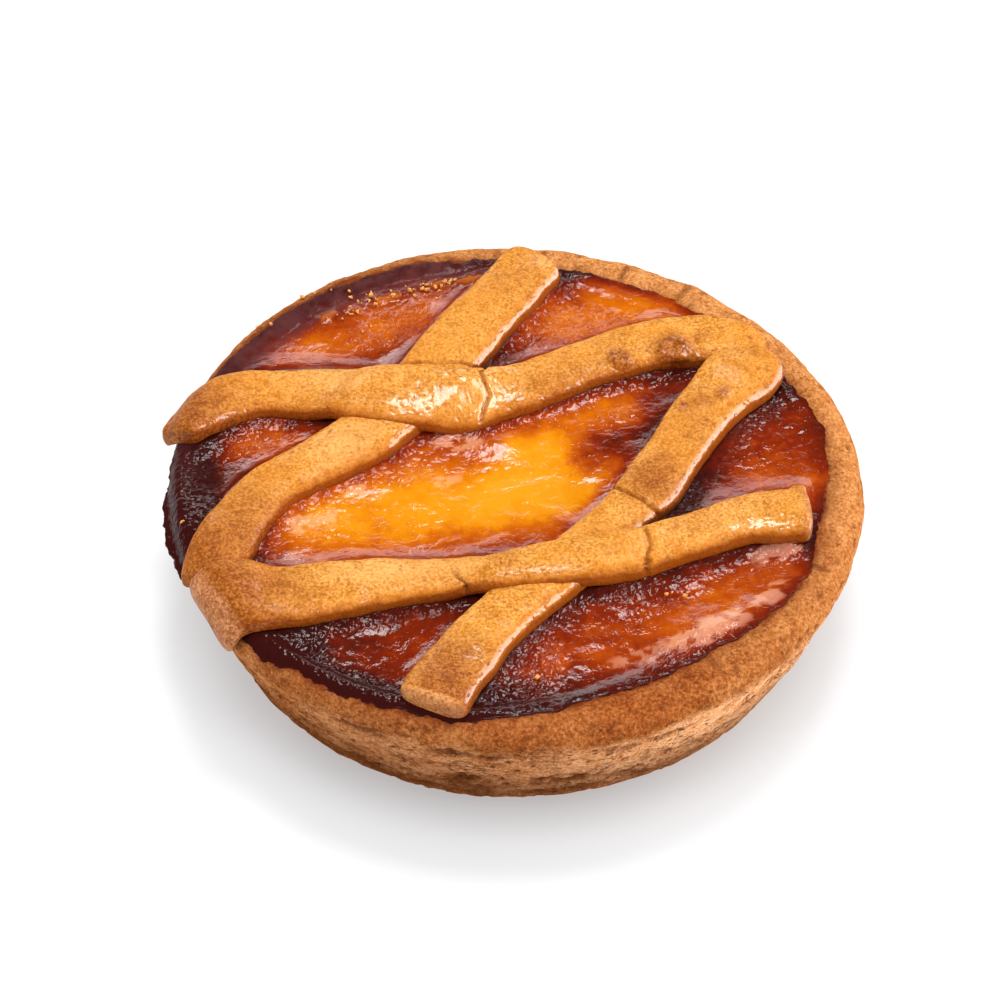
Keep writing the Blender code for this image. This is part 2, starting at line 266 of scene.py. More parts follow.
# Where the caramel has dried matt
MATT = (
    (31.5, 3, 9, 4, 60, 0.6), (35.5, -1.5, 5, 3, 20, 0.3), (-14.7, -32.2, 6, 3, 0, 0.5),
    (-46.7, -2, 5, 4, 0, 0.5), (-12, 41.4, 4, 3, 0, 0.5), (-14.5, 33, 8, 4, 20, 0.4),
)
# Painted reflections: milky patches of pale colour where the glossy caramel would mirror the lights
PAINTED_REFLECTIONS = (
    (-10, 6.4, 7, 2.5, 4, 0.85), (29, -34, 11, 2.6, 34, 0.9), (38, -27.5, 5.5, 2, 42, 0.85),
    (20, -38, 7, 2, 25, 0.6), (-34, -12, 3.6, 2.3, 30, 0.75), (-29, -10.4, 2.6, 1.6, 30, 0.75),
    (-25, -4.4, 2.8, 1.4, 25, 0.75), (-11, -2.2, 3.2, 1.5, 20, 0.7), (41, -17.5, 5.5, 2.3, 20, 0.7),
)
# A ridge of dried foam with crumbs in it, in plan
RIDGE = ((-31, 35.5), (-26, 38.6), (-19, 40.8), (-12.3, 43.3), (-6, 44.2))
# The middle cell, where the dark bands are narrow
HEART = (-3, 0, 36, 14.5, 17, 1)
# Slopes and hollows of the filling: x, y, radius along, radius across, turn, rise in millimetres
PILLOWS = (
    (-27, 0, 22, 9, 40, 0.4), (-8, 6, 14, 6, 10, 0.3), (-4, 6.5, 6, 3.5, 10, 0.8),
    (-36, 30, 10, 5, 15, -0.4),
)
# Share of the satin band along the edge, by degrees: a painted sheen, purple-brown colour laid on the dark
# caramel
SATIN_SHEEN = ((-180, 0.2), (-165, 0), (88, 0), (104, 1), (150, 1), (172, 0.5))
# The filling's dip and climb to the rim: depth or height and reach, and their share by degrees
RIM_DIP = (0.9, 16)
RIM_RISE = (1.6, 6)
RISE_SHARE = ((-180, 0), (-75, 0), (-60, 0.7), (-42, 1), (-20, 1), (0, 0.25), (25, 0), (150, 0))
# Caramel along the outer edge: degrees, darkening and reach in millimetres
EDGE_CHAR = (
    (-180, 0.62, 8), (-160, 0.6, 7), (-135, 0.5, 5), (-110, 0.42, 3.5), (-90, 0.36, 3), (-60, 0.26, 2),
    (-30, 0.16, 1.6), (0, 0.16, 2), (30, 0.2, 2), (60, 0.24, 2.2), (90, 0.3, 3), (115, 0.44, 5),
    (140, 0.5, 5), (165, 0.5, 6),
)

# How brown the rim is, by degrees and share: partly its baked browning, partly painted shade at the front and
# left, and painted light on the right and back-right, where it is paler
RIM_BROWN_AND_SHADE = (
    (-180, 0.5), (-150, 0.62), (-120, 0.72), (-95, 0.78), (-72, 0.96), (-55, 0.82), (-35, 0.45),
    (-10, 0.38), (18, 0.34), (40, 0.08), (65, 0.02), (95, 0.22), (125, 0.5), (155, 0.5),
)
# The same for the wall: painted shade at the left and front, and painted light on the right and front-right,
# where the pale wall tone shows
WALL_BROWN_AND_SHADE = (
    (-180, 0.95), (-140, 0.85), (-115, 0.72), (-95, 0.58), (-78, 0.36), (-60, 0.14), (-42, 0), (0, 0),
    (60, 0.2), (120, 0.6),
)

# Loose crumbs: x, y, how many, and how far they scatter
CRUMB_SPOTS = (
    (3.2, -43.4, 3, 0.5), (-52.3, -5, 2, 0.3), (-51.8, -11.4, 3, 0.8), (-24, 39.6, 20, 4.5),
    (-15, 42.2, 34, 6), (-9, 44, 18, 3), (-41, 33, 4, 3), (-33, 41, 3, 3), (-27, 36, 8, 4),
    (24, -27.5, 5, 4),
)

# Linear colours by how far the filling has browned, for its caramel and its painted reflections, and of the
# crumbs
CARAMEL = (
    (0.02, (0.62, 0.245, 0.008)), (0.18, (0.6, 0.195, 0.003)), (0.34, (0.45, 0.095, 0.002)),
    (0.5, (0.304, 0.0418, 0.00304)), (0.66, (0.1672, 0.01368, 0.00228)), (0.82, (0.0798, 0.0076, 0.00304)),
    (1, (0.0304, 0.00456, 0.0038)),
)
REFLECTION_TONES = ((0.2, (0.7, 0.31, 0.115)), (0.62, (0.48, 0.185, 0.112)))
CRUMB_TONES = ((0.3, (0.617206562, 0.187820772, 0.0295568344)), (0.7, (0.921581856, 0.479320183, 0.12743768)))
# Linear colours of the dough by its mottling
TONES = {
    "rim": ((0.34, (0.3, 0.095, 0.019)), (0.49, (0.5, 0.195, 0.055)), (0.64, (0.68, 0.335, 0.125))),
    "rim_brown": ((0.34, (0.13, 0.027, 0.006)), (0.49, (0.25, 0.064, 0.014)), (0.64, (0.41, 0.135, 0.034))),
    "wall": ((0.36, (0.47, 0.156, 0.045)), (0.49, (0.74, 0.338, 0.14)), (0.62, (0.86, 0.52, 0.305))),
    "wall_brown": ((0.38, (0.17, 0.034, 0.005)), (0.49, (0.29, 0.076, 0.012)), (0.6, (0.42, 0.14, 0.03))),
    "strip": ((0.38, (0.38, 0.117, 0.008)), (0.49, (0.545, 0.213, 0.026)), (0.58, (0.655, 0.315, 0.074))),
    "strip_pale": ((0.38, (0.6, 0.262, 0.06)), (0.52, (0.76, 0.4, 0.132))),
    "strip_brown": ((0.38, (0.11, 0.018, 0.003)), (0.49, (0.205, 0.042, 0.006)), (0.6, (0.37, 0.105, 0.016))),
    "strip_torn": ((0.38, (0.25, 0.08, 0.026)), (0.49, (0.38, 0.145, 0.056)), (0.6, (0.54, 0.25, 0.115))),
}
# The floor's painted glow, dimmed into a painted shadow near the tart, by distance from the middle of the
# shadow, in eighths of a metre
SHADOW_MIDDLE = (-0.003, -0.008, 0)
FLOOR_GLOW = ((0.31, 0.7), (0.37, 0.85), (0.44, 1), (0.56, 0.95))

CAMERA_TARGET = (-0.00226, 0, 0.0176)
CAMERA_DISTANCE = 0.5
CAMERA_ELEVATION = 46.1
CAMERA_LENS = 112.8

# ---------------------------------------------------------------- noise


def scramble(x, y, z, seed):
    """Numbers from 0 to 1 that look random, one for each whole-number place x, y, z."""
    with np.errstate(over="ignore"):
        h = x.astype(np.uint32) * np.uint32(0x8DA6B343)
        h ^= y.astype(np.uint32) * np.uint32(0xD8163841)
        h ^= z.astype(np.uint32) * np.uint32(0xCB1AB31F)
        h ^= np.uint32(seed * 2654435761 % 2**32)
        for shift, factor in ((16, 0x7FEB352D), (15, 0x846CA68B)):
            h ^= h >> np.uint32(shift)
            h *= np.uint32(factor)
        h ^= h >> np.uint32(16)
    return h / 4294967295.0


def smooth_noise(points, size, seed):
    """Lattice noise from -1 to 1: random values on a cubic lattice `size` apart, blended by smooth steps."""
    place = np.asarray(points, float) / size
    low = np.floor(place).astype(np.int64)
    t = place - low
    t = t * t * (3 - 2 * t)
    total = 0.0
    for corner in np.ndindex(2, 2, 2):
        weight = 1.0
        for axis in range(3):
            weight = weight * (t[..., axis] if corner[axis] else 1 - t[..., axis])
        total = total + weight * scramble(*(low[..., axis] + corner[axis] for axis in range(3)), seed)
    return 2 * total - 1


def fractal(points, size, seed, octaves=3, fade=0.5):
    """Sum of lattice noises, each half the size of the one before and `fade` times as strong, about -1 to 1."""
    points = np.asarray(points, float)
    total = sum(fade**i * smooth_noise(points, size / 2**i, seed + i) for i in range(octaves))
    return total / sum(fade**i for i in range(octaves)) * 1.3


def shaken(points, amount, size, seed, noise_at=None):
    """Points moved along a diagonal by up to `amount` of noise, so that outlines drawn on them turn ragged."""
    return points + amount * fractal(points if noise_at is None else noise_at, size, seed)[..., None]


def wander(plan, amount, size, seeds):
    """Plan points moved about by up to `amount` of noise, with one seed each for x and y."""
    shift = np.stack([fractal(plan, size, seed) for seed in seeds] + [0 * plan[..., 0]], axis=-1)
    return plan + amount * shift


def cells(plan, size, seed):
    """Nearest of scattered dots, one in each square `size` wide: distance in sizes, and the dot's number."""
    place = np.asarray(plan, float)[..., :2] / size
    low = np.floor(place).astype(np.int64)
    best = np.full(low.shape[:-1], 9.0)
    number = np.zeros(low.shape[:-1])
    for dx, dy in np.ndindex(3, 3):
        x, y = low[..., 0] + dx - 1, low[..., 1] + dy - 1
        zero = np.zeros_like(x)
        dot_x = x + scramble(x, y, zero, seed)
        dot_y = y + scramble(x, y, zero + 1, seed)
        gap = np.hypot(place[..., 0] - dot_x, place[..., 1] - dot_y)
        nearer = gap < best
        number = np.where(nearer, scramble(x, y, zero + 2, seed), number)
        best = np.where(nearer, gap, best)
    return best, number


def holes(plan, size, seed, low, high, share):
    """Small round spots, 1 within `low` sizes of a dot and 0 beyond `high`, at a share of the dots."""
    gap, number = cells(plan, size, seed)
    return (1 - step(low, high, gap)) * (number < share)


def waves(points, size, seed, count=14):
    """Smooth unevenness from -1 to 1: the mean of sine waves about `size` long in seeded directions."""
    rng = np.random.default_rng(seed)
    ways = rng.normal(size=(count, 3))
    ways *= (2 * np.pi / size) * rng.uniform(0.7, 1.4, (count, 1)) / np.linalg.norm(ways, axis=1)[:, None]
    phases = rng.uniform(0, 2 * np.pi, count)
    return np.sin(points @ ways.T + phases).sum(axis=-1) / np.sqrt(count) / 1.5


def step(low, high, value):
    """Smooth step from 0 at low to 1 at high."""
    t = np.clip((value - low) / (high - low), 0, 1)
    return t * t * (3 - 2 * t)


def falloff(distance, reach=1.0, power=1.0):
    """1 at and below no distance, falling off as exp(-(distance / reach) ** power)."""
    return np.exp(-((np.clip(distance, 0, None) / reach) ** power))


# ---------------------------------------------------------------- the tart's own forms


def spline(points, at):
    """Catmull-Rom curve through the rows of `points`, read at parameters from 0 to 1."""
    points = np.asarray(points, float)
    padded = np.concatenate([[2 * points[0] - points[1]], points, [2 * points[-1] - points[-2]]])
    place = np.clip(at, 0, 1) * (len(points) - 1)
    index = np.minimum(place.astype(int), len(points) - 2)
    t = (place - index)[:, None]
    a, b, c, d = (padded[index + i] for i in range(4))
    return 0.5 * (2 * b + (c - a) * t + (2 * a - 5 * b + 4 * c - d) * t**2 + (3 * b - 3 * c + d - a) * t**3)


def round_trip(pairs, angle, column=1, blur=31):
    """A closed smooth curve over the angle through the pairs of degrees and values."""
    table = np.array(pairs, float)
    turn = np.concatenate([table[:, 0] - 360, table[:, 0], table[:, 0] + 360])
    fine = np.linspace(-270, 270, 1081)
    coarse = np.interp(fine, turn, np.tile(table[:, column], 3))
    window = np.hanning(blur)
    even = np.convolve(coarse, window / window.sum(), mode="same")
    return np.interp((np.degrees(angle) + 180) % 360 - 180, fine, even)


def edge_radius(angle):
    """Radius of the filling's edge at an angle in radians."""
    return round_trip(FILLING_EDGE, angle)


def oval(angle):
    """Share by which the case's radius differs from a circle."""
    return sum(-share * np.cos(lobes * (angle - np.radians(turned))) for lobes, share, turned in OVAL)


def rim_height(radius):
    """Height of the rim's outer edge at a radius: a quarter ellipse down to the shoulder."""
    share = np.clip((radius - RIM_TOP_R) / (SHOULDER_R - RIM_TOP_R), 0, 1)
    return SHOULDER_Z + (RIM_Z - SHOULDER_Z) * np.sqrt(1 - share**2)


def rim_top(radius):
    """Height of the rim's top at a radius: half a millimetre of fall towards the filling."""
    return RIM_Z - 0.5 * np.clip(RIM_TOP_R - radius, 0, 4) / 4


def round_points(radius, angle, height):
    """Points at a radius, an angle in radians and a height."""
    return np.stack([radius * np.cos(angle), radius * np.sin(angle), height + 0 * angle], axis=-1)


def spots(plan, table, power=1.3):
    """Greatest of the table's elliptical spots at each plan point, each fading from its strength as
    exp(-(squared distance in radii) ** power)."""
    best = np.zeros(plan.shape[:-1])
    for x, y, along, across, turn, strength in table:
        c, s = np.cos(np.radians(turn)), np.sin(np.radians(turn))
        dx, dy = plan[..., 0] - x, plan[..., 1] - y
        far = ((dx * c + dy * s) / along) ** 2 + ((dy * c - dx * s) / across) ** 2
        one = abs(strength) * np.exp(-(far**power))
        best = np.where(one > np.abs(best), np.sign(strength) * one, best)
    return best


def torn_spots(plan, table, amount, stretch, size, seed):
    """Spots with `amount` of noise added where they lie, stretched along x, so that a step of it is ragged."""
    patch = spots(plan, table, 1.5)
    noise = fractal(plan * np.array([1, stretch, 1]), size, seed, 4, 0.65)
    return patch + amount * np.minimum(1, 3 * patch) * noise


def bed(points):
    """Height that the strips settle at: just below the cells, up onto the rim and down past its flat top."""
    radius = np.hypot(points[..., 0], points[..., 1])
    inside = CELL_Z - SINK
    onto_rim = (RIM_Z - RIM_BITE - inside) * step(43, 49, radius)
    return inside + onto_rim - DROOP * np.clip(radius - RIM_TOP_R, 0, 5.6) ** 2


class Strip:
    """One lattice strip: a route, the strips laid before it, and where plan points lie relative to it."""

    stations = 90
    at_once = 20000

    def __init__(self, route, earlier, cling):
        self.cling = cling
        self.earlier = earlier
        self.fine = spline(route, np.linspace(0, 1, 600))
        lengths = np.linalg.norm(np.diff(self.fine[:, :2], axis=0), axis=1)
        self.along = np.concatenate([[0], np.cumsum(lengths)])
        self.length = self.along[-1]
        self.middle, self.way, self.half = self.at(np.linspace(0, self.length, self.stations))
        self.side = np.stack([-self.way[:, 1], self.way[:, 0]], 1)
        # The side that faces the front of the tart is -1 or 1.
        self.front = np.where(self.side[:, 1] < 0, 1.0, -1.0)

    def at(self, distance):
        """Middle point, unit direction and half width at distances along the strip."""
        x, y, half = (np.interp(distance, self.along, self.fine[:, i]) for i in range(3))
        ahead = [np.interp(distance + 1.0, self.along, self.fine[:, i]) for i in range(2)]
        behind = [np.interp(distance - 1.0, self.along, self.fine[:, i]) for i in range(2)]
        way = np.stack(ahead, 1) - np.stack(behind, 1)
        return np.stack([x, y], 1), way / np.linalg.norm(way, axis=1)[:, None], half

    def outside(self, points):
        """For plan points: distance from the strip's edge (negative over it), and how far towards the
        front side they lie, from -1 to 1. Worked out in parts, to save memory."""
        flat = points.reshape(-1, points.shape[-1])[:, :2]
        gap = np.empty(len(flat))
        front = np.empty(len(flat))
        for start in range(0, len(flat), self.at_once):
            part = slice(start, start + self.at_once)
            reach = flat[part][:, None, :] - self.middle
            nearest = (np.linalg.norm(reach, axis=-1) - self.half).argmin(axis=1)
            offset = reach[np.arange(len(nearest)), nearest]
            across = (offset * self.side[nearest]).sum(1)
            ahead = (offset * self.way[nearest]).sum(1)
            over_end = ((nearest == 0) & (ahead < 0)) | ((nearest == self.stations - 1) & (ahead > 0))
            distance = np.where(over_end, np.hypot(across, ahead), np.abs(across))
            gap[part] = distance - self.half[nearest]
            front[part] = np.clip(across / self.half[nearest], -1, 1) * self.front[nearest]
        return gap.reshape(points.shape[:-1]), front.reshape(points.shape[:-1])

    def underside(self, points):
        """Height of the strip's underside: the bed, and a smooth lift over earlier strips."""
        height = bed(points)
        for other in self.earlier:
            near = np.clip(1 - other.outside(points)[0] / LIFT_REACH, 0, 1)
            height = height + LIFT * near * near * (3 - 2 * near)
        return height


def near_line(points, line):
    """Distance in plan from points to a polyline."""
    flat = points[..., :2]
    best = np.full(flat.shape[:-1], 99.0)
    for a, b in zip(np.array(line[:-1]), np.array(line[1:])):
        run = b - a
        share = np.clip(((flat - a) @ run) / (run @ run), 0, 1)
        best = np.minimum(best, np.linalg.norm(flat - a - share[..., None] * run, axis=-1))
    return best


# ---------------------------------------------------------------- meshes


def normals(grid):
    """Unit normals of a grid of points that closes the second way, from its two sets of differences."""
    down = np.gradient(grid, axis=0)
    across = np.roll(grid, -1, axis=1) - np.roll(grid, 1, axis=1)
    out = np.cross(across, down)
    return out / np.maximum(np.linalg.norm(out, axis=-1), 1e-9)[..., None]


def new_piece(name, points, quads, triangles, marks):
    """An object with a smooth mesh of points in millimetres, quads and triangles. Each of `marks` becomes
    an attribute of the points."""
    mesh = bpy.data.meshes.new(name)
    corners = np.concatenate([quads.reshape(-1), triangles.reshape(-1)])
    sizes = np.repeat([4, 3], [len(quads), len(triangles)])
    mesh.vertices.add(len(points))
    mesh.vertices.foreach_set("co", (points * MM).astype(np.float32).reshape(-1))
    mesh.loops.add(len(corners))
    mesh.loops.foreach_set("vertex_index", corners.astype(np.int32))
    mesh.polygons.add(len(sizes))
    starts = np.concatenate([[0], np.cumsum(sizes)[:-1]])
    mesh.polygons.foreach_set("loop_start", starts.astype(np.int32))
    mesh.polygons.foreach_set("use_smooth", np.ones(len(sizes), bool))
    mesh.update(calc_edges=True)
    mesh.validate()
    for key, value in marks.items():
        mesh.attributes.new(key, "FLOAT", "POINT").data.foreach_set("value", value.astype(np.float32))
    return in_scene(bpy.data.objects.new(name, mesh))


def in_scene(thing):
    """Links a new object into the scene."""
    bpy.context.scene.collection.objects.link(thing)
    return thing


def tube(name, grid, marks):
    """A piece from a grid of points that closes the second way, with a fan round a middle point at each end."""
    rows, columns = grid.shape[:2]
    index = np.arange(rows * columns).reshape(rows, columns)
    right = np.roll(index, -1, axis=1)
    quads = np.stack([index[:-1], right[:-1], right[1:], index[1:]], axis=-1).reshape(-1, 4)
    points = np.concatenate([grid.reshape(-1, 3), [grid[0].mean(axis=0), grid[-1].mean(axis=0)]])
    fans = [
        np.stack([np.roll(ring, -1), ring, np.full(columns, middle)], axis=-1)
        for ring, middle in ((index[0], rows * columns), (index[-1][::-1], rows * columns + 1))
    ]
    whole = {key: np.concatenate([v.reshape(-1), [v[0].mean(), v[-1].mean()]]) for key, v in marks.items()}
    return new_piece(name, points, quads, np.concatenate(fans), whole)


# ---------------------------------------------------------------- case


def case_profile():
    """The case's outer profile as radius and height: from under the base, round its edge, up the tapered
    wall and round the shoulder to the rim's top."""
    base = [(share * (BASE_R - BASE_EDGE), 0.0) for share in (0.1, 0.5, 0.9, 0.97)]
    turned = np.radians(np.linspace(-90, 0, 10))
    base += [(BASE_R - BASE_EDGE * (1 - np.cos(t)), BASE_EDGE * (1 + np.sin(t))) for t in turned]
    heights = np.linspace(BASE_EDGE, SHOULDER_Z, 58)[1:]
    wall = [(BASE_R + (SHOULDER_R - BASE_R) * (z / SHOULDER_Z) ** WALL_BEND, z) for z in heights]
    over = np.radians(np.linspace(0, 90, 24))[1:]
    across, up = SHOULDER_R - RIM_TOP_R, RIM_Z - SHOULDER_Z
    shoulder = [(RIM_TOP_R + across * np.cos(t), SHOULDER_Z + up * np.sin(t)) for t in over]
    return np.array(base + wall + shoulder)


def case_form(angle):
    """Radius and height of the case's rings, and how many of them are outside. After the outer profile
    come the rim's top, as far as a lip under the filling's edge, and the inner wall. Where the filling
    reaches past the rim's top, the rim is drawn in to that lip. Waves make the whole slightly lumpy."""
    outer = case_profile()
    radius = np.repeat(outer[:, :1], len(angle), axis=1)
    height = np.repeat(outer[:, 1:], len(angle), axis=1)
    lip = edge_radius(angle) - LIP
    share = np.linspace(0, 1, TOP_RINGS + 1)[1:, None]
    start = np.minimum(RIM_TOP_R, lip + 9)
    top_r = start + (lip - start) * share
    top_z = np.where(lip < RIM_TOP_R, rim_top(top_r), rim_height(top_r))
    past = lip > RIM_TOP_R
    drawn = past & (radius < lip) & (height > SHOULDER_Z)
    radius = np.where(drawn, lip, radius)
    height = np.where(drawn, rim_height(lip), height)
    top_r = np.where(past, lip - 0.02 * share, top_r)
    top_z = np.where(past, rim_height(lip) - 0.02 * share, top_z)
    inner = np.array(INNER_WALL)
    inner_r = np.minimum(inner[:, :1] - INNER_GAP, lip - INNER_GAP)
    radius = np.concatenate([radius, top_r, inner_r]) * (1 + oval(angle))
    height = np.concatenate([height, top_z, inner[:, 1:] + 0 * angle])
    lump = LUMP * waves(round_points(radius, angle, height), LUMP_SIZE, LUMP_SEED) * (height > 0)
    return radius + lump, height + 0.5 * lump * (height > SHOULDER_Z), len(outer)


def case_piece():
    """The shortcrust case: its rings carried round the axis. Relief along the normal adds level layers and
    pits in the wall, and grain on the rim. Stretched noise gives the layers, and only its low parts sink in."""
    angle = np.linspace(0, 2 * np.pi, CASE_COLUMNS, endpoint=False)
    radius, height, outer = case_form(angle)
    grid = round_points(radius, angle, height)
    out = normals(grid)
    ragged_z = height + 1.6 * fractal(grid, 4.0, seed=27, octaves=4, fade=0.65)
    on_wall = step(1.2, 3.0, height) * (1 - step(SHOULDER_Z - 1.5, SHOULDER_Z + 1.5, ragged_z))
    on_wall[outer:] = 0
    on_rim = step(SHOULDER_Z - 2, SHOULDER_Z + 2, height)
    on_rim[outer + TOP_RINGS :] = 0
    layers = 0.62 * fractal(grid * np.array([0.42, 0.42, 1.7]), 3.4, seed=21, octaves=2, fade=0.6)
    layers = layers + 0.62 * fractal(grid * np.array([0.75, 0.75, 1.3]), 1.8, seed=25, octaves=3, fade=0.65)
    ragged = np.clip(-layers - 0.08, 0, 1) ** 1.3
    unrolled = np.stack([angle * 30 + 0 * height, height], axis=-1)
    pits = holes(unrolled, 1.3, 5, 0.1, 0.42, 0.20 + 0.25 * (1 - step(6, 15, height)))
    grain = fractal(grid, 1.1, seed=9, octaves=2)
    relief = on_wall * (-LAYER_DEPTH * ragged - PIT_DEPTH * pits + WALL_GRAIN * grain - INSET)
    uneven = RIM_UNEVEN * fractal(grid, 4.0, seed=13)
    relief += on_rim * (RIM_GRAIN * grain - INSET + uneven - RIM_PIT_DEPTH * pits)
    relief[height <= 0.4] = 0
    grid = grid + out * relief[..., None]
    grid[..., 2] = np.maximum(grid[..., 2], 0)

    from_filling = np.hypot(grid[..., 0], grid[..., 1]) / (1 + oval(angle)) - edge_radius(angle)
    stain = falloff(from_filling + 0.8 * fractal(grid, 1.8, 17), 0.9) * (on_rim > 0.5)
    # Brown share by angle: baked browning, with painted shade at the front and left and painted light on the
    # right
    brown = round_trip(RIM_BROWN_AND_SHADE, angle) * (1 - on_wall) + round_trip(WALL_BROWN_AND_SHADE, angle) * on_wall
    brown = brown + 0.25 * fractal(grid, 9, 19) + 0.15 * fractal(grid, 2.5, 23)
    marks = {
        "wall": on_wall,
        "stain": stain,
        "brown": np.clip(brown, 0, 1),
        "layers": np.clip(0.5 + 0.5 * layers, 0, 1),
        # Pits and torn-in layers, painted dark in the finish: painted shade in these hollows
        "pits": np.clip(pits + 0.5 * ragged * on_wall, 0, 1),
    }
    return tube("case_crust", grid, marks)


# ---------------------------------------------------------------- filling


def square_to_disc(count):
    """Plan points of a unit disc from a square grid, by carrying each square ring onto a circle."""
    line = np.linspace(-1, 1, count)
    x, y = np.meshgrid(line, line, indexing="ij")
    sideways = np.abs(x) >= np.abs(y)
    turn = np.where(
        sideways,
        np.pi / 4 * y / np.where(np.abs(x) > 0, x, 1),
        np.pi / 2 - np.pi / 4 * x / np.where(np.abs(y) > 0, y, 1),
    )
    radius = np.maximum(np.abs(x), np.abs(y)) * np.where(sideways, np.sign(x), np.sign(y))
    return radius * np.cos(turn), radius * np.sin(turn)


def near_strips(plan, strips, width):
    """Nearness of plan points to the strips: distance to the nearest, how closely a strip's front side and
    its far side lie by (1 at its edge, fading over `width` and 1 mm), and the rise where the filling clings."""
    ragged = fractal(plan, 2.0, 41)
    nearest = np.full(plan.shape[:-1], 99.0)
    front, far, rise = (np.zeros(plan.shape[:-1]) for _ in range(3))
    for strip in strips:
        gap, facing = strip.outside(plan)
        side = step(-0.6, 0.6, facing)
        nearest = np.minimum(nearest, gap)
        front = np.maximum(front, side * falloff(gap + 0.8 * ragged, width, 1.5))
        far = np.maximum(far, (1 - side) * falloff(gap + 0.3 * ragged))
        height, reach = (a + (b - a) * side for a, b in zip(CLING_FAR, CLING_FRONT))
        rise = np.maximum(rise, strip.cling * height * falloff(gap, reach))
    return nearest, front, far, rise


def doneness(plan, heart, front, far, from_edge, angle):
    """How far the filling has browned, from 0 (golden) to 1 (black caramel): red-brown by default, paler
    in the PALE spots, darker in the DARK ones, along the strips' front sides and along the outer edge,
    and broken up by noise."""
    loose = wander(plan, 1.3, 5, (31, 32))
    pale = spots(loose, PALE)
    dark = spots(loose, DARK)
    rim = round_trip(EDGE_CHAR, angle, 1) * falloff(from_edge, round_trip(EDGE_CHAR, angle, 2), 1.4)
    plain = 0.66 - 0.14 * heart
    done = plain * (1 - pale) + dark * (1 - 0.5 * pale) + (0.26 - 0.10 * heart) * front + 0.10 * far + rim
    return np.clip(done + 0.06 * fractal(plan, 3.0, 47), 0, 1.1)


def wrinkles(plan):
    """Fine noise drawn out along one direction, for the baked skin."""
    turn = np.radians(WRINKLE_TURN)
    loose = wander(plan, 1.3, 3.5, (85, 87))
    along = loose[..., 0] * np.cos(turn) + loose[..., 1] * np.sin(turn)
    across = loose[..., 1] * np.cos(turn) - loose[..., 0] * np.sin(turn)
    return fractal(np.stack([along / 1.7, across, 0 * along], axis=-1), 2.0, 83, octaves=4, fade=0.65)


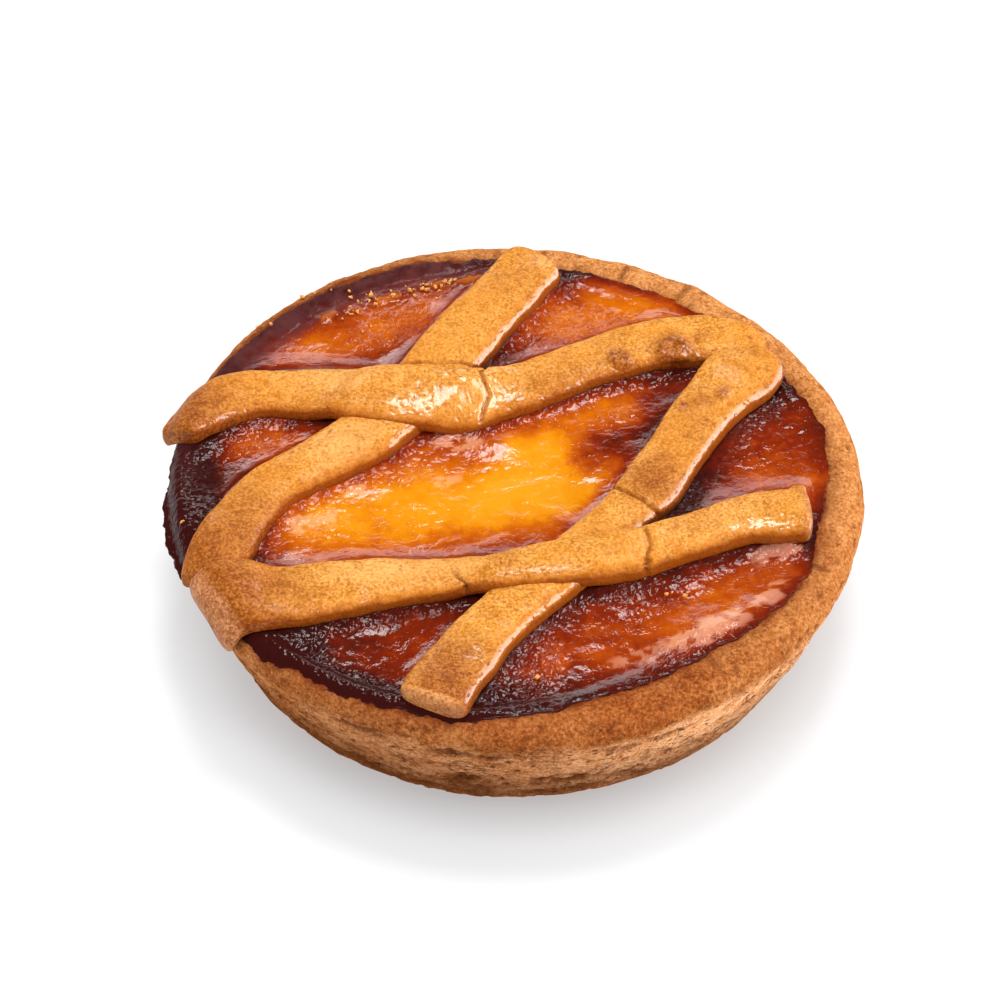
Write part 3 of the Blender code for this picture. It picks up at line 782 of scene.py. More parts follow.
def filling_piece(strips):
    """The baked filling: a square grid carried onto the case's mouth for its surface, and rings of the
    same edge carried down into the case. The surface is the cells' level, raised where it clings to a
    strip, with pillows, wrinkles, a dip and climb to the rim and, where it has boiled and browned,
    bubbles. At the edge it is a thin skin on the rim."""
    x, y = square_to_disc(FILLING_GRID)
    angle = np.arctan2(y, x)
    share = np.hypot(x, y)
    ragged_edge = fractal(round_points(50.0, angle, 0.0), 4.5, 61, 5, 0.65)
    reach = np.minimum(edge_radius(angle) + 0.25 + ragged_edge * share**8, FARTHEST)
    radius = share * reach
    plan = round_points(radius, angle, 0.0)
    from_edge = reach - radius
    heart = spots(plan, (HEART,), 3.0)
    gap, front, far, rise = near_strips(plan, strips, 2.6 - 1.5 * heart)
    done = doneness(plan, heart, front, far, from_edge, angle)

    height = CELL_Z + rise + (EDGE_Z - CELL_Z) * falloff(from_edge, 3)
    height = height + SWELL * waves(plan, SWELL_SIZE, seed=8)
    height = height + step(-0.5, 4.0, gap) * spots(plan, PILLOWS, 1.0)
    bubble_gap, number = cells(shaken(plan, 0.25, 1.5, 71), BUBBLE_SIZE, seed=73)
    bubble = np.sqrt(np.clip(1 - (bubble_gap / 0.62) ** 2, 0, 1)) * (0.3 + 0.7 * number)
    bubbly = spots(shaken(plan, 1.5, 4, 97), BUBBLY)
    boiled = step(0.12, 0.60, np.maximum(front, bubbly) + 0.4 * step(0.8, 1.0, done))
    boiled = boiled * step(0.2, 0.8, from_edge)
    height = height + BUBBLE_HEIGHT * boiled * (bubble - 0.25)
    open_cell = step(0.2, 2.0, gap) * step(0.3, 3.0, from_edge)
    height = height + open_cell * BUMP_HEIGHT * fractal(plan, BUMP_SIZE, 81, octaves=2)
    height = height + open_cell * (WRINKLE_HEIGHT - WRINKLE_LESS * boiled) * wrinkles(plan)
    climb = RIM_RISE[0] * falloff(from_edge, RIM_RISE[1], 2) - RIM_DIP[0] * falloff(from_edge, RIM_DIP[1], 2)
    height = height + climb * round_trip(RISE_SHARE, angle)
    ridge = falloff(near_line(shaken(plan, 0.7, 1.8, 91), RIDGE), 0.9, 2)
    ridge = ridge * step(-0.2, 0.4, fractal(plan, 2.2, 93))
    height = height + ridge * (RIDGE_HEIGHT + RIDGE_UNEVEN * fractal(plan, 0.9, 95))

    skin = rim_surface(plan) + SKIN * (1 - falloff(from_edge, 0.7)) - 0.06
    skin = skin + RIM_BUBBLES * boiled * bubble * step(0.2, 0.9, from_edge)
    on_rim = step(-2.3, -0.3, radius - (edge_radius(angle) - LIP) * (1 + oval(angle)))
    height = height * (1 - on_rim) + skin * on_rim
    plan[..., 2] = np.minimum(height, np.where(radius > RIM_TOP_R, skin + 0.30, 99))

    # The satin band, with a painted sheen: purple-brown colour laid on the dark caramel, with the coat dulled
    # there
    satin_sheen = round_trip(SATIN_SHEEN, angle, blur=15) * np.exp(-(((from_edge - 1.6) / 3.4) ** 4))
    dull = np.maximum(ridge, 0.85 * (1 - step(0.2, 1.0, from_edge + 0.5 * fractal(plan, 1.5, 99))))
    dull = np.maximum(np.maximum(dull, 0.9 * satin_sheen), spots(plan, MATT))
    grainy = fractal(plan, 1.6, 105, octaves=3, fade=0.7)
    plan[..., 2] = plan[..., 2] + SATIN_GRAIN * satin_sheen * grainy - 0.04 * satin_sheen
    satin_sheen = satin_sheen * np.clip(0.8 + 0.9 * grainy, 0, 1)
    # Painted reflections: milky patches where the caramel would mirror the lights
    painted_reflection = step(0.44, 0.60, torn_spots(plan, PAINTED_REFLECTIONS, 1.1, 1.4, 2.2, 103))
    painted_reflection = painted_reflection * np.clip(spots(plan, PAINTED_REFLECTIONS, 3.0) * 1.2, 0, 1)
    marks = {"done": done, "boiled": boiled, "crumbly": ridge, "dull": dull, "satin_sheen": satin_sheen, "painted_reflection": painted_reflection}
    return closed_disc("filling_baked", plan, marks)


def rim_surface(plan):
    """Height of the rim under the filling's skin at plan points."""
    angle = np.arctan2(plan[..., 1], plan[..., 0])
    radius = np.hypot(plan[..., 0], plan[..., 1]) / (1 + oval(angle))
    height = np.where(radius < RIM_TOP_R, rim_top(radius), rim_height(radius))
    place = np.stack([plan[..., 0], plan[..., 1], height], axis=-1)
    return height + 0.5 * LUMP * waves(place, LUMP_SIZE, LUMP_SEED)


def closed_disc(name, top, marks):
    """A solid from a square grid for its top, and rings of its edge carried down to a flat underside.
    Where the caramel has run over the shoulder it hangs as a drip, drawn in to the wall below."""
    count = len(top)
    index = np.arange(count * count).reshape(count, count)
    quads = np.stack([index[:-1, :-1], index[1:, :-1], index[1:, 1:], index[:-1, 1:]], axis=-1).reshape(-1, 4)
    rim = np.concatenate([index[:-1, 0], index[-1, :-1], index[:0:-1, -1], index[0, :0:-1]])
    flat = top.reshape(-1, 3)
    angle = np.arctan2(flat[rim, 1], flat[rim, 0])
    edge = edge_radius(angle)
    over = step(*DRIP_FROM, edge)
    drip = np.minimum(49.9, edge - 0.9) * (1 - over) + DRIP_R * over
    rings = [round_points(drip * (1 + oval(angle)), angle, 20.9 - DRIP_FALL * over)]
    for radius, height in FILLING_RINGS:
        rings.append(round_points(np.minimum(radius, edge - 1.0) * (1 + oval(angle)), angle, height))
    points = np.concatenate([flat, *rings, [[0, 0, FLOOR]]])
    loops = [rim] + [count * count + i * len(rim) + np.arange(len(rim)) for i in range(len(rings))]
    walls = [
        np.stack([np.roll(low, -1), low, high, np.roll(high, -1)], axis=-1)[:, ::-1]
        for low, high in zip(loops, loops[1:])
    ]
    fan = np.stack([loops[-1], np.full(len(rim), len(points) - 1), np.roll(loops[-1], -1)], axis=-1)
    whole = {}
    for key, value in marks.items():
        value = value.reshape(-1)
        whole[key] = np.concatenate([value] + [value[rim]] * len(rings) + [[1.0]])
    return new_piece(name, points, np.concatenate([quads, *walls]), fan, whole)


# ---------------------------------------------------------------- lattice strips


def rounding(from_end, reach, power=3.0):
    """Share of full size near an end: a superellipse quarter over `reach`, never quite nothing."""
    share = np.clip(1 - from_end / reach, 0, 1)
    return np.maximum((1 - np.minimum(share, 0.995) ** power) ** (1 / power), 0.05)


def strip_form(name, strip, distance, seed):
    """A strip before its relief: a flat superellipse section carried along its route, with wavy edges,
    rounded ends and a slight crown, and draped on what lies below. Returns the grid, its plan, the unit
    directions to its left, and where its points lie in the section: across and up from -1 to 1, and half
    the width there."""
    first, last, press_first, press_last = ENDS[name]
    middle, way, half = strip.at(distance)
    side = np.stack([-way[:, 1], way[:, 0]], 1)
    from_last = strip.length - distance
    from_end = np.minimum(distance, from_last)
    # More points on top than underneath
    turn = np.concatenate([np.linspace(0, np.pi, 78)[:-1], np.linspace(np.pi, 2 * np.pi, 15)[:-1]])
    across, up = (np.sign(v) * np.abs(v) ** SECTION for v in (np.cos(turn), np.sin(turn)))
    wavy = np.stack([distance, 0 * distance, 0 * distance], axis=-1)
    left, right = (half + WAVER * fractal(wavy, WAVER_LENGTH, seed + more, octaves=3) for more in (0, 50))
    reach = np.where(distance < strip.length / 2, first, last)
    width = np.where(across > 0, left[:, None], right[:, None]) * rounding(from_end, reach)[:, None] - 0.15
    pressed = press_first * (1 - step(0, PRESS_REACH, distance))
    pressed = pressed + press_last * (1 - step(0, PRESS_REACH, from_last))
    thick = (THICK * (1 - pressed))[:, None]
    plan = middle[:, None, :] + side[:, None, :] * (across * width)[..., None]
    plan = np.concatenate([plan, np.zeros(plan.shape[:2] + (1,))], axis=-1)
    under = strip.underside(plan)
    for x, y, along, wide, turned, slope in LEANS.get(name, ()):
        under = under + slope * (plan[..., 1] - y) * spots(plan, ((x, y, along, wide, turned, 1.0),))
    rounded = thick * rounding(from_end, EDGE_ROUND)[:, None]
    height = under + thick / 2 + rounded / 2 * up + CROWN * (1 - across**2) * (up > 0)
    grid = np.concatenate([plan[..., :2], height[..., None]], axis=-1)
    return grid, plan, side, across, up, width


def strip_piece(name, strip):
    """A strip of dough: its form, and relief on the top for undulations, blisters, cracks, pores and
    crinkled glaze. The marks say where it is browner, paler, stained with caramel and painted shade at
    the foot of its front side, glazed, in pores or cracks (painted shade), on a side or front edge
    (painted shade) or on a cut end."""
    first, last = ENDS[name][:2]
    ends = 1.3 * (1 - np.cos(np.linspace(0, np.pi / 2, 20)))
    inner = np.linspace(first * 1.3, strip.length - last * 1.3, int(strip.length / SPACING))
    distance = np.concatenate([first * ends[:-1], inner, strip.length - last * ends[-2::-1]])
    from_last = strip.length - distance
    from_end = np.minimum(distance, from_last)
    seed = sum(map(ord, name))
    grid, plan, side, across, up, width = strip_form(name, strip, distance, seed)

    out = normals(grid)
    nothing = np.zeros(plan.shape[:2])
    top = step(0.35, 0.8, up) + nothing
    body = step(0.0, 1.5, from_end)[:, None] * step(-0.3, 0.3, up)
    uneven = STRIP_UNEVEN * fractal(plan, 6.0, seed + 1)
    relief = body * (uneven + STRIP_GRAIN * fractal(grid, 1.7, seed + 2) - STRIP_INSET)
    own = np.stack([distance[:, None] + 0 * across, across * width], axis=-1)
    pores = holes(own, 1.5, seed, 0.06, 0.24, 0.32)
    fine_pores = holes(own, 0.75, seed + 7, 0.1, 0.40, 0.30)
    gap, number = cells(shaken(own, 0.35, 1.0, seed + 17, noise_at=plan), 2.5, seed + 31)
    freckles = (1 - step(0.03, 0.26 * (0.5 + number), gap)) * (number < 0.6)
    crack, blister, browned = nothing, nothing, nothing
    loose = wander(plan, 0.45, 1.6, (5, 6))
    for line in CRACKS.get(name, ()):
        crack = np.maximum(crack, falloff(near_line(loose, line), 0.28, 2))
    for x, y, radius, rise in BLISTERS.get(name, ()):
        far = np.hypot(plan[..., 0] - x, plan[..., 1] - y) / radius + 0.18 * fractal(plan, 1.2, 8)
        lumpy = 1 - 0.35 * np.exp(-((far / 0.35) ** 2)) + 0.45 * fractal(plan, 1.3, 33, 2)
        groove = GROOVE_DEPTH * np.exp(-(((far - 1.15) / 0.12) ** 2))
        blister = blister + (rise * np.exp(-(far**4)) * lumpy - groove)
        browned = np.maximum(browned, np.exp(-(far**3)) * (0.7 + 0.5 * fractal(plan, 1.0, 35)))
    relief += body * top * (-PORE_DEPTH * pores - FINE_PORE_DEPTH * fine_pores)
    relief += body * (-CRACK_DEPTH * crack) + top * blister
    grid = grid + out * relief[..., None]

    from_axis = np.hypot(plan[..., 0], plan[..., 1])
    facing = np.sign((side * TO_LIGHT).sum(1))[:, None] * across
    ragged = 0.25 * fractal(plan, 1.3, seed + 12)
    tone = spots(shaken(plan, 0.8, 3, seed + 21), DOUGH_TONES[name], 1.1)
    brown = 0.55 * step(47, 54, from_axis) + 0.35 * step(0.80, 1.0, np.abs(across))
    brown = brown + 0.25 * (1 - step(0, 4, from_end))[:, None]
    brown = 0.6 * brown + 0.95 * browned + tone * (tone > 0) + 0.16 * fractal(plan, 5, seed + 9)
    brown = np.clip(brown + 0.45 * freckles * top, 0, 1)
    # Painted shade on the strip's sides and underside and along its front edge, partly the deeper orange of
    # egg-washed sides
    shade = 1 - step(-0.2, 0.7, up) + nothing
    shade = np.maximum(shade, 0.9 * step(0.50, 0.95, facing + 0.6 * ragged))
    # Stain at the foot of the front side: caramel, and painted shade where the strip meets the filling
    stain = step(0.55, 0.95, facing + ragged * 0.5) * (1 - 0.85 * step(0.30, 0.95, up + ragged))
    glaze = 0.9 * step(0.72, 0.93, facing) * (1 - step(50, 54, from_axis))
    glaze_from = GLAZED_ABOVE.get(name, -99.0)
    glaze = glaze * step(glaze_from - 4, glaze_from + 4, plan[..., 1])
    for *place, strength in GLAZE.get(name, ()):
        patch = torn_spots(plan, ((*place, 1.0),), 0.5, 1.7, 2.4, 27)
        glaze = np.maximum(glaze, strength * step(0.42, 0.58, patch))
    glaze = np.maximum(glaze, 0.8 * step(0.35, 0.7, browned) * step(-0.3, 0.3, fractal(plan, 1.1, seed + 37)))
    hanging = step(53.2, 54.6, from_axis + 0.5 * ragged) * (distance < 12)[:, None] * (name in CUT_ENDS)
    last_face = (1 - step(0.5, 1.7, from_last))[:, None] * (name in PALE_LAST)
    crinkle = step(0.3, 0.9, glaze) * top * body
    grid = grid + out * (crinkle * CRINKLE * fractal(plan, 1.8, seed + 15, 3, 0.6))[..., None]
    grid[..., 2] = np.minimum(grid[..., 2], TOP_Z)
    marks = {
        "brown": brown * (1 - last_face),
        # Pores and cracks, painted dark in the finish: painted shade in these hollows
        "pits": np.clip(0.8 * pores * top + 0.5 * fine_pores * top + crack, 0, 1),
        # Painted shade on the sides and front edge
        "side": shade,
        "light": np.clip(-tone, 0, 1),
        "stain": stain,
        "glaze": np.clip(glaze, 0, 1),
        "cut": np.maximum(hanging, 0.8 * last_face),
    }
    return tube(name + "_dough", grid, marks)


# ---------------------------------------------------------------- crumbs


def crumbs_piece():
    """Crumbs: small lumps, each a sphere of 8 by 6 points squeezed by seeded noise, laid on the surface."""
    rng = np.random.default_rng(12)
    lat = np.linspace(0.25, np.pi - 0.25, 6)
    lon = np.linspace(0, 2 * np.pi, 8, endpoint=False)
    level = np.outer(np.cos(lat), 1 + 0 * lon)
    ball = np.stack([np.outer(np.sin(lat), np.cos(lon)), np.outer(np.sin(lat), np.sin(lon)), level], -1)
    ball = ball.reshape(-1, 3)
    index = np.arange(len(ball)).reshape(6, 8)
    right = np.roll(index, -1, 1)
    quads = np.stack([index[:-1], right[:-1], right[1:], index[1:]], -1).reshape(-1, 4)
    caps = np.stack([index[0][::-1], index[-1]])
    points = []
    for x, y, count, spread in CRUMB_SPOTS:
        for _ in range(count):
            size = 0.11 + 0.25 * rng.uniform() ** 2
            shape = ball * rng.uniform(0.5, 1.4, 3) * size
            shape = shape * (1 + 0.4 * rng.normal(size=(len(ball), 1)).clip(-1, 1))
            place = np.array([x + rng.normal() * spread * 0.5, y + rng.normal() * spread * 0.2, 0.0])
            place[2] = CELL_Z + 0.55 if np.hypot(*place[:2]) < 49 else rim_surface(place) + 0.2
            points.append(shape + place)
    starts = np.arange(len(points))[:, None, None] * len(ball)
    faces = [(part + starts).reshape(-1, part.shape[1]).tolist() for part in (quads, caps)]
    mesh = bpy.data.meshes.new("crumbs")
    mesh.from_pydata((np.concatenate(points) * MM).tolist(), [], faces[0] + faces[1])
    mesh.shade_smooth()
    return in_scene(bpy.data.objects.new("crumbs", mesh))


# ---------------------------------------------------------------- finishes


class Nodes:
    """A short way to wire shader nodes. Values may be sockets or constants."""

    def __init__(self, tree):
        self.tree = tree

    def feed(self, node, values):
        """Sets or links a node's inputs."""
        for key, value in values.items():
            socket = node.inputs[key]
            if isinstance(value, bpy.types.NodeSocket):
                self.tree.links.new(value, socket)
            else:
                socket.default_value = value

    def make(self, kind, values=None, **settings):
        """A new node of a kind, with its settings and its inputs."""
        node = self.tree.nodes.new("ShaderNode" + kind)
        for key, value in settings.items():
            setattr(node, key, value)
        self.feed(node, values or {})
        return node

    def math(self, operation, a, b=0.5, clamp=False):
        return self.make("Math", {0: a, 1: b}, operation=operation, use_clamp=clamp).outputs[0]

    def times(self, a, b):
        return self.math("MULTIPLY", a, b)

    def mark(self, name):
        """The piece's own attribute of that name."""
        return self.make("Attribute", attribute_name=name).outputs["Fac"]

    def noise(self, place, size, detail=3.0, rough=0.55, warp=0.0):
        """Noise with features about `size` millimetres across."""
        values = {"Vector": place, "Scale": 1000.0 / size, "Detail": detail}
        return self.make("TexNoise", {**values, "Roughness": rough, "Distortion": warp}).outputs["Fac"]

    def stretch(self, place, factor):
        """The place with its height counted `factor` times, for level features."""
        values = {0: place, 1: (1.0, 1.0, factor)}
        return self.make("VectorMath", values, operation="MULTIPLY").outputs["Vector"]

    def span(self, value, low, high, start=0.0, end=1.0):
        """A value from low to high carried onto start to end."""
        values = {"Value": value, "From Min": low, "From Max": high, "To Min": start, "To Max": end}
        return self.make("MapRange", values).outputs["Result"]

    def scatter(self, place, size):
        """Voronoi cells with dots `size` millimetres apart."""
        return self.make("TexVoronoi", {"Vector": place, "Scale": 1000.0 / size, "Randomness": 1.0}).outputs

    def dots(self, place, size, low, high, share):
        """Round dots at a share of places `size` millimetres apart."""
        dots = self.scatter(place, size)
        number = self.make("SeparateColor", {"Color": dots["Color"]}).outputs[0]
        near = self.span(dots["Distance"], low, high, 1.0, 0.0)
        return self.times(near, self.math("LESS_THAN", number, share))

    def ramp(self, value, *stops):
        """Colours, or greys given as one number, by value."""
        node = self.make("ValToRGB", {"Fac": value})
        elements = node.color_ramp.elements
        while len(elements) < len(stops):
            elements.new(0.5)
        for element, (place, colour) in zip(elements, stops):
            element.position = place
            element.color = (*np.broadcast_to(colour, 3).tolist(), 1)
        return node.outputs["Color"]

    def mix(self, share, a, b, blend="MIX"):
        """Colour a with colour b over it, by a share."""
        node = self.make("Mix", data_type="RGBA", blend_type=blend)
        for key, value in (("Factor", share), ("A", a), ("B", b)):
            socket = [s for s in node.inputs if s.name == key and s.enabled][0]
            if isinstance(value, bpy.types.NodeSocket):
                self.tree.links.new(value, socket)
            else:
                socket.default_value = (*value, 1) if isinstance(value, tuple) else value
        return [s for s in node.outputs if s.enabled][0]

    def coats(self, base, *coats):
        """The base with colours laid over it in turn, each by a share of a mask or of a named mark."""
        for mask, share, colour in coats:
            mask = self.mark(mask) if isinstance(mask, str) else mask
            base = self.mix(self.times(mask, share), base, colour)
        return base

    def group(self, tree, place, **values):
        return self.make("Group", {"Vector": place, **values}, node_tree=tree).outputs

    def bump(self, height, strength, distance):
        values = {"Height": height, "Strength": strength, "Distance": distance}
        return self.make("Bump", values).outputs["Normal"]


def new_group(name, inputs, outputs):
    """A node group: its tree, its nodes, its input sockets and its output node."""
    tree = bpy.data.node_groups.new(name, "ShaderNodeTree")
    for socket in inputs:
        kind = "NodeSocketVector" if socket == "Vector" else "NodeSocketFloat"
        tree.interface.new_socket(socket, in_out="INPUT", socket_type=kind)
    for socket in outputs:
        tree.interface.new_socket(socket, in_out="OUTPUT", socket_type="NodeSocketFloat")
    return tree, Nodes(tree), tree.nodes.new("NodeGroupInput").outputs, tree.nodes.new("NodeGroupOutput")


def grain_group():
    """Node group for baked dough's grain: fine mottling, scattered dark specks and a height for bump."""
    tree, n, source, out = new_group("baked grain", ("Vector", "Speckled"), ("Mottle", "Specks", "Height"))
    coarse = n.noise(source["Vector"], 2.4, 4, 0.6)
    fine = n.noise(source["Vector"], 0.5, 2, 0.75)
    mottle = n.math("ADD", n.times(coarse, 0.28), n.times(fine, 0.72))
    specks = n.dots(source["Vector"], 1.1, 0.10, 0.34, source["Speckled"])
    height = n.math("SUBTRACT", fine, n.times(specks, 0.5))
    n.feed(out, {"Mottle": mottle, "Specks": specks, "Height": height})
    return tree


def ripple_group():
    """Node group for glaze: where it lies thick, and its small ripples as a height."""
    tree, n, source, out = new_group("glaze", ("Vector",), ("Wet", "Ripple"))
    place = source["Vector"]
    wet = n.span(n.noise(place, 9, 3, 0.55, 0.6), 0.42, 0.60)
    ripple = n.math("ADD", n.noise(place, 1.3, 3, 0.6, 0.4), n.times(n.noise(place, 0.45, 2, 0.5), 0.3))
    n.feed(out, {"Wet": wet, "Ripple": ripple})
    return tree


def new_finish(name):
    """A material, its nodes, its Principled shader and the place on the object."""
    material = bpy.data.materials.new(name)
    material.use_nodes = True
    n = Nodes(material.node_tree)
    place = n.make("TexCoord").outputs["Object"]
    return material, n, material.node_tree.nodes["Principled BSDF"], place


def crust_finish(grain):
    """Dry shortcrust: orange-brown and speckled on the rim, paler and layered on the wall, with level cracks
    and holes.
    Painted shade darkens the torn layers, the cracks, holes and pits, and the wall towards the foot;
    painted highlights pale the layers' ridges; the browning by angle carries painted shade at the front
    and left and painted light on the right."""
    material, n, shader, place = new_finish("baked shortcrust")
    out = n.group(grain, place, Speckled=0.42)
    mottle, brown, wall_mask = out["Mottle"], n.mark("brown"), n.mark("wall")
    rim = n.mix(brown, n.ramp(mottle, *TONES["rim"]), n.ramp(mottle, *TONES["rim_brown"]))
    rim = n.coats(rim, ("stain", 0.85, (0.1216, 0.019, 0.00456)))
    wall = n.mix(brown, n.ramp(mottle, *TONES["wall"]), n.ramp(mottle, *TONES["wall_brown"]))
    # Painted shade where the torn layers sink in, and painted highlights on the layers' ridges
    wall = n.mix(n.ramp(n.mark("layers"), (0.18, 0.9), (0.46, 0)), wall, (0.14, 0.034, 0.008))
    ridges = n.ramp(n.mark("layers"), (0.55, 0), (0.85, 0.6))
    wall = n.mix(n.times(ridges, n.math("SUBTRACT", 1.0, brown, clamp=True)), wall, (0.74, 0.42, 0.20))
    # Painted shade: the wall darkens in patches towards the foot, near the floor
    foot = n.span(n.make("SeparateXYZ", {"Vector": place}).outputs["Z"], 0.001, 0.016, 1.0, 0.0)
    painted_foot_shade = n.times(foot, n.ramp(n.noise(place, 5, 4, 0.6), (0.30, 0.6), (0.58, 1)))
    wall = n.mix(painted_foot_shade, wall, (0.090, 0.0225, 0.0062))
    # Level cracks and pocks: dents in the bump, painted dark below as painted shade in them
    split = n.math("ABSOLUTE", n.math("SUBTRACT", n.noise(n.stretch(place, 2.4), 5.0, 2, 0.5), 0.5))
    broken = n.ramp(n.noise(place, 6.0, 2, 0.5), (0.46, 0), (0.56, 1))
    cracks = n.times(n.times(n.span(split, 0.004, 0.03, 1.0, 0.0), broken), wall_mask)
    pocks = n.times(n.dots(n.stretch(place, 1.7), 1.9, 0.12, 0.30, 0.42), wall_mask)
    wall = n.coats(wall, (cracks, 0.6, (0.11, 0.026, 0.006)), (pocks, 0.8, (0.085, 0.021, 0.005)))
    both = n.coats(
        n.mix(wall_mask, rim, wall),
        (out["Specks"], 0.6, (0.1064, 0.0266, 0.0076)),
        # Painted shade: pits and torn layers darkened
        ("pits", 0.6, (0.114, 0.02736, 0.0076)),
    )
    height = n.math("SUBTRACT", n.math("SUBTRACT", out["Height"], cracks), n.times(pocks, 1.5))
    normal = n.bump(height, 0.6, 0.00035)
    n.feed(shader, {"Base Color": both, "Roughness": 0.8, "Specular IOR Level": 0.0, "Normal": normal})
    return material


def dough_finish(grain, ripple):
    """Golden strips under a thin glaze: mottled, browner at the ends and edges, with painted shade on the
    sides, front edges, pores and cracks.
    """
    material, n, shader, place = new_finish("glazed dough")
    out = n.group(grain, place, Speckled=0.16)
    mottle = out["Mottle"]
    wet = n.group(ripple, place)["Wet"]
    large = n.ramp(n.noise(place, 12, 2, 0.5), (0.35, 0), (0.65, 1))
    base = n.coats(
        n.ramp(mottle, *TONES["strip"]),
        (large, 0.4, (0.5776, 0.1976, 0.01368)),
        ("light", 0.75, n.ramp(mottle, *TONES["strip_pale"])),
        # Painted shade on the sides and front edges, and at the foot of the front sides with the caramel stain
        ("side", 0.6, (0.5016, 0.152, 0.00912)),
        ("stain", 0.85, (0.2736, 0.0494, 0.00304)),
        ("brown", 0.82, n.ramp(mottle, *TONES["strip_brown"])),
        ("cut", 0.85, n.ramp(mottle, *TONES["strip_torn"])),
        (out["Specks"], 0.45, (0.2736, 0.0684, 0.00912)),
        # Painted shade: pores and cracks darkened
        ("pits", 0.6, (0.1976, 0.0418, 0.00608)),
    )
    values = {
        "Base Color": base,
        "Roughness": n.span(wet, 0.0, 1.0, 0.55, 0.38),
        "Specular IOR Level": 0.04,
        "Coat Weight": n.math("MAXIMUM", n.times(wet, 0.12), n.mark("glaze"), clamp=True),
        "Coat Roughness": 0.14,
        "Coat IOR": 1.4,
        "Normal": n.bump(out["Height"], 0.7, 0.00028),
    }
    n.feed(shader, values)
    return material


def filling_finish(ripple):
    """Baked filling under caramel: golden, orange, red and near black as the browning goes on, and glossy.
    The caramel is matt where it is dull; it carries painted reflections in milky patches and a painted
    satin sheen along the edge."""
    material, n, shader, place = new_finish("caramelised filling")
    fine = n.math("SUBTRACT", n.noise(place, 1.8, 4, 0.65, 0.5), 0.5)
    boiled = n.mark("boiled")
    done = n.math("ADD", n.mark("done"), n.times(fine, 0.34))
    base = n.coats(
        n.ramp(done, *CARAMEL),
        # Painted sheen: the satin band's purple-brown
        ("satin_sheen", 0.7, (0.095, 0.030, 0.030)),
        ("crumbly", 0.7, (0.42, 0.11, 0.015)),
        # Painted reflection: milky patches
        ("painted_reflection", 0.8, n.ramp(n.mark("done"), *REFLECTION_TONES)),
    )
    coat = n.math("SUBTRACT", n.span(boiled, 0.0, 1.0, 1.0, 0.55), n.mark("dull"), clamp=True)
    foam = n.math("SUBTRACT", 0.6, n.scatter(place, 0.75)["Distance"], clamp=True)
    height = n.math("ADD", n.times(n.group(ripple, place)["Ripple"], 0.8), n.times(foam, boiled))
    normal = n.bump(height, 0.6, 0.0002)
    values = {
        "Base Color": base,
        "Roughness": 0.5,
        "Specular IOR Level": 0.0,
        "Coat Weight": coat,
        "Coat Roughness": 0.06,
        "Coat IOR": 1.36,
        "Normal": normal,
        "Coat Normal": normal,
    }
    n.feed(shader, values)
    return material


def crumb_finish(grain):
    """Pale baked crumbs."""
    material, n, shader, place = new_finish("crumb")
    mottle = n.group(grain, place, Speckled=0.3)["Mottle"]
    n.feed(shader, {"Base Color": n.ramp(mottle, *CRUMB_TONES), "Roughness": 0.5})
    return material


# ---------------------------------------------------------------- studio


def aim(thing, target):
    """Turns a lamp or camera so that it looks at the target."""
    thing.rotation_euler = (Vector(target) - thing.location).to_track_quat("-Z", "Y").to_euler()


def panel(name, azimuth, elevation, distance, size, power):
    """A softbox that faces the tart. Azimuth 0 is behind it, 90 to its right, in degrees."""
    lamp = bpy.data.lights.new(name, "AREA")
    lamp.shape = "RECTANGLE"
    lamp.size, lamp.size_y = size
    lamp.energy = power
    holder = in_scene(bpy.data.objects.new(name, lamp))
    a, e = np.radians(azimuth), np.radians(elevation)
    holder.location = distance * np.array([np.sin(a) * np.cos(e), np.cos(a) * np.cos(e), np.sin(e)])
    aim(holder, (0, 0, 0.02))
    return holder


def pale_floor():
    """A wide white floor with painted light: it glows a little, and less round the tart's foot, a painted
    shadow where its shadow lies.
    """
    bpy.ops.mesh.primitive_plane_add(size=6, location=(0, 0, 0))
    floor = bpy.context.object
    floor.name = "floor"
    material, n, shader, place = new_finish("pale floor")
    away = n.make("VectorMath", {0: place, 1: SHADOW_MIDDLE}, operation="DISTANCE").outputs["Value"]
    values = {
        "Base Color": (0.37, 0.39, 0.41, 1),
        "Roughness": 0.9,
        "Specular IOR Level": 0.1,
        # Painted shadow: the floor's glow dims round the tart's foot
        "Emission Color": n.ramp(n.times(away, 8.0), *FLOOR_GLOW),
        "Emission Strength": 0.60,
    }
    n.feed(shader, values)
    floor.data.materials.append(material)
    return floor


def dim_sky():
    """A sky that only lights: pale at the horizon, dim above, brighter on the right and behind."""
    world = bpy.data.worlds.new("studio")
    bpy.context.scene.world = world
    world.use_nodes = True
    n = Nodes(world.node_tree)
    way = n.make("TexCoord").outputs["Generated"]
    up = n.make("SeparateXYZ", {"Vector": way}).outputs["Z"]
    glow = n.ramp(up, (0.0, 0.9), (0.30, 0.7), (0.52, 0.28), (0.8, 0.28))
    sideways = n.make("VectorMath", {0: way, 1: (0.78, 0.60, 0.0)}, operation="DOT_PRODUCT").outputs["Value"]
    glow = n.mix(1.0, glow, n.span(sideways, -0.8, 1.0, 0.65, 1.5), "MULTIPLY")
    n.feed(world.node_tree.nodes["Background"], {"Color": glow})
    world.cycles_visibility.glossy = False


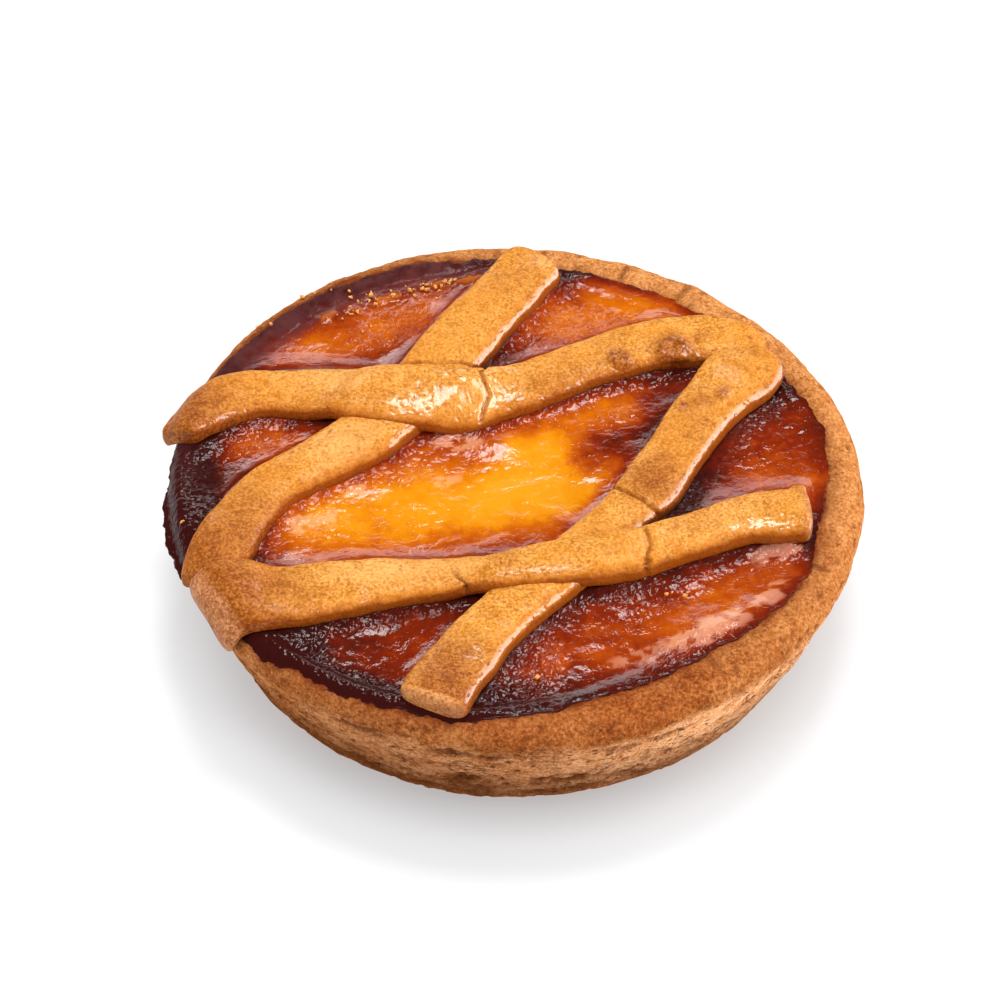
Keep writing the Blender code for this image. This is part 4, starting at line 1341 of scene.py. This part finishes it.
def studio(edged):
    """Floor, sky and softboxes. The edge panel lights only the pieces in the collection `edged`, and the
    two low side panels leave out the floor."""
    floor = pale_floor()
    dim_sky()
    panel("key", 10, 70, 1.0, (0.31, 0.31), 6.9)
    panel("back", 4, 24, 1.0, (1.2, 0.34), 4.5).visible_diffuse = False
    panel("window", -20, 30, 0.95, (0.24, 0.15), 0.8).visible_diffuse = False
    # The low panel on the right only draws the bright line along the strips' edges.
    edge = panel("edge", 76, 34, 1.0, (0.85, 0.85), 34.0)
    edge.visible_diffuse = False
    edge.light_linking.receiver_collection = edged
    panel("high", 180, 78, 1.0, (0.6, 0.4), 5.2).visible_glossy = False
    off_floor = bpy.data.collections.new("off floor")
    off_floor.objects.link(floor)
    off_floor.collection_objects[0].light_linking.link_state = "EXCLUDE"
    for name, azimuth, elevation, power in (("right", 112, 14, 9.0), ("left", -105, 20, 4.6)):
        side = panel(name, azimuth, elevation, 1.0, (0.6, 0.35), power)
        side.visible_glossy = False
        side.light_linking.receiver_collection = off_floor


def view():
    """The camera, from the front and above."""
    camera = bpy.data.cameras.new("camera")
    camera.lens = CAMERA_LENS
    camera.sensor_width = 36
    holder = in_scene(bpy.data.objects.new("camera", camera))
    tilt = np.radians(CAMERA_ELEVATION)
    holder.location = np.array(CAMERA_TARGET) + CAMERA_DISTANCE * np.array([0, -np.cos(tilt), np.sin(tilt)])
    holder.rotation_euler = (np.radians(90 - CAMERA_ELEVATION), 0, 0)
    bpy.context.scene.camera = holder
    bpy.context.scene.view_settings.view_transform = "Standard"


def place_piece(piece, material, slot, *nodes):
    """Gives a piece its material and says which body it rides and what it replaces. The slot is not used."""
    piece.data.materials.append(material)
    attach(piece, "root")
    if nodes:
        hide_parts(*nodes)


def main():
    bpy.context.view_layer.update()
    view()
    edged = bpy.data.collections.new("edged")
    studio(edged)
    strips = {}
    for name, route in STRIPS.items():
        strips[name] = Strip(route, list(strips.values()), CLING_SHARE.get(name, 1.0))
    grain, ripple = grain_group(), ripple_group()
    dough = dough_finish(grain, ripple)
    place_piece(case_piece(), crust_finish(grain), "case", "case")
    place_piece(filling_piece(list(strips.values())), filling_finish(ripple), "filling", "filling")
    for name, strip in strips.items():
        piece = strip_piece(name, strip)
        place_piece(piece, dough, "strip", name)
        edged.objects.link(piece)
    place_piece(crumbs_piece(), crumb_finish(grain), "strip")


main()
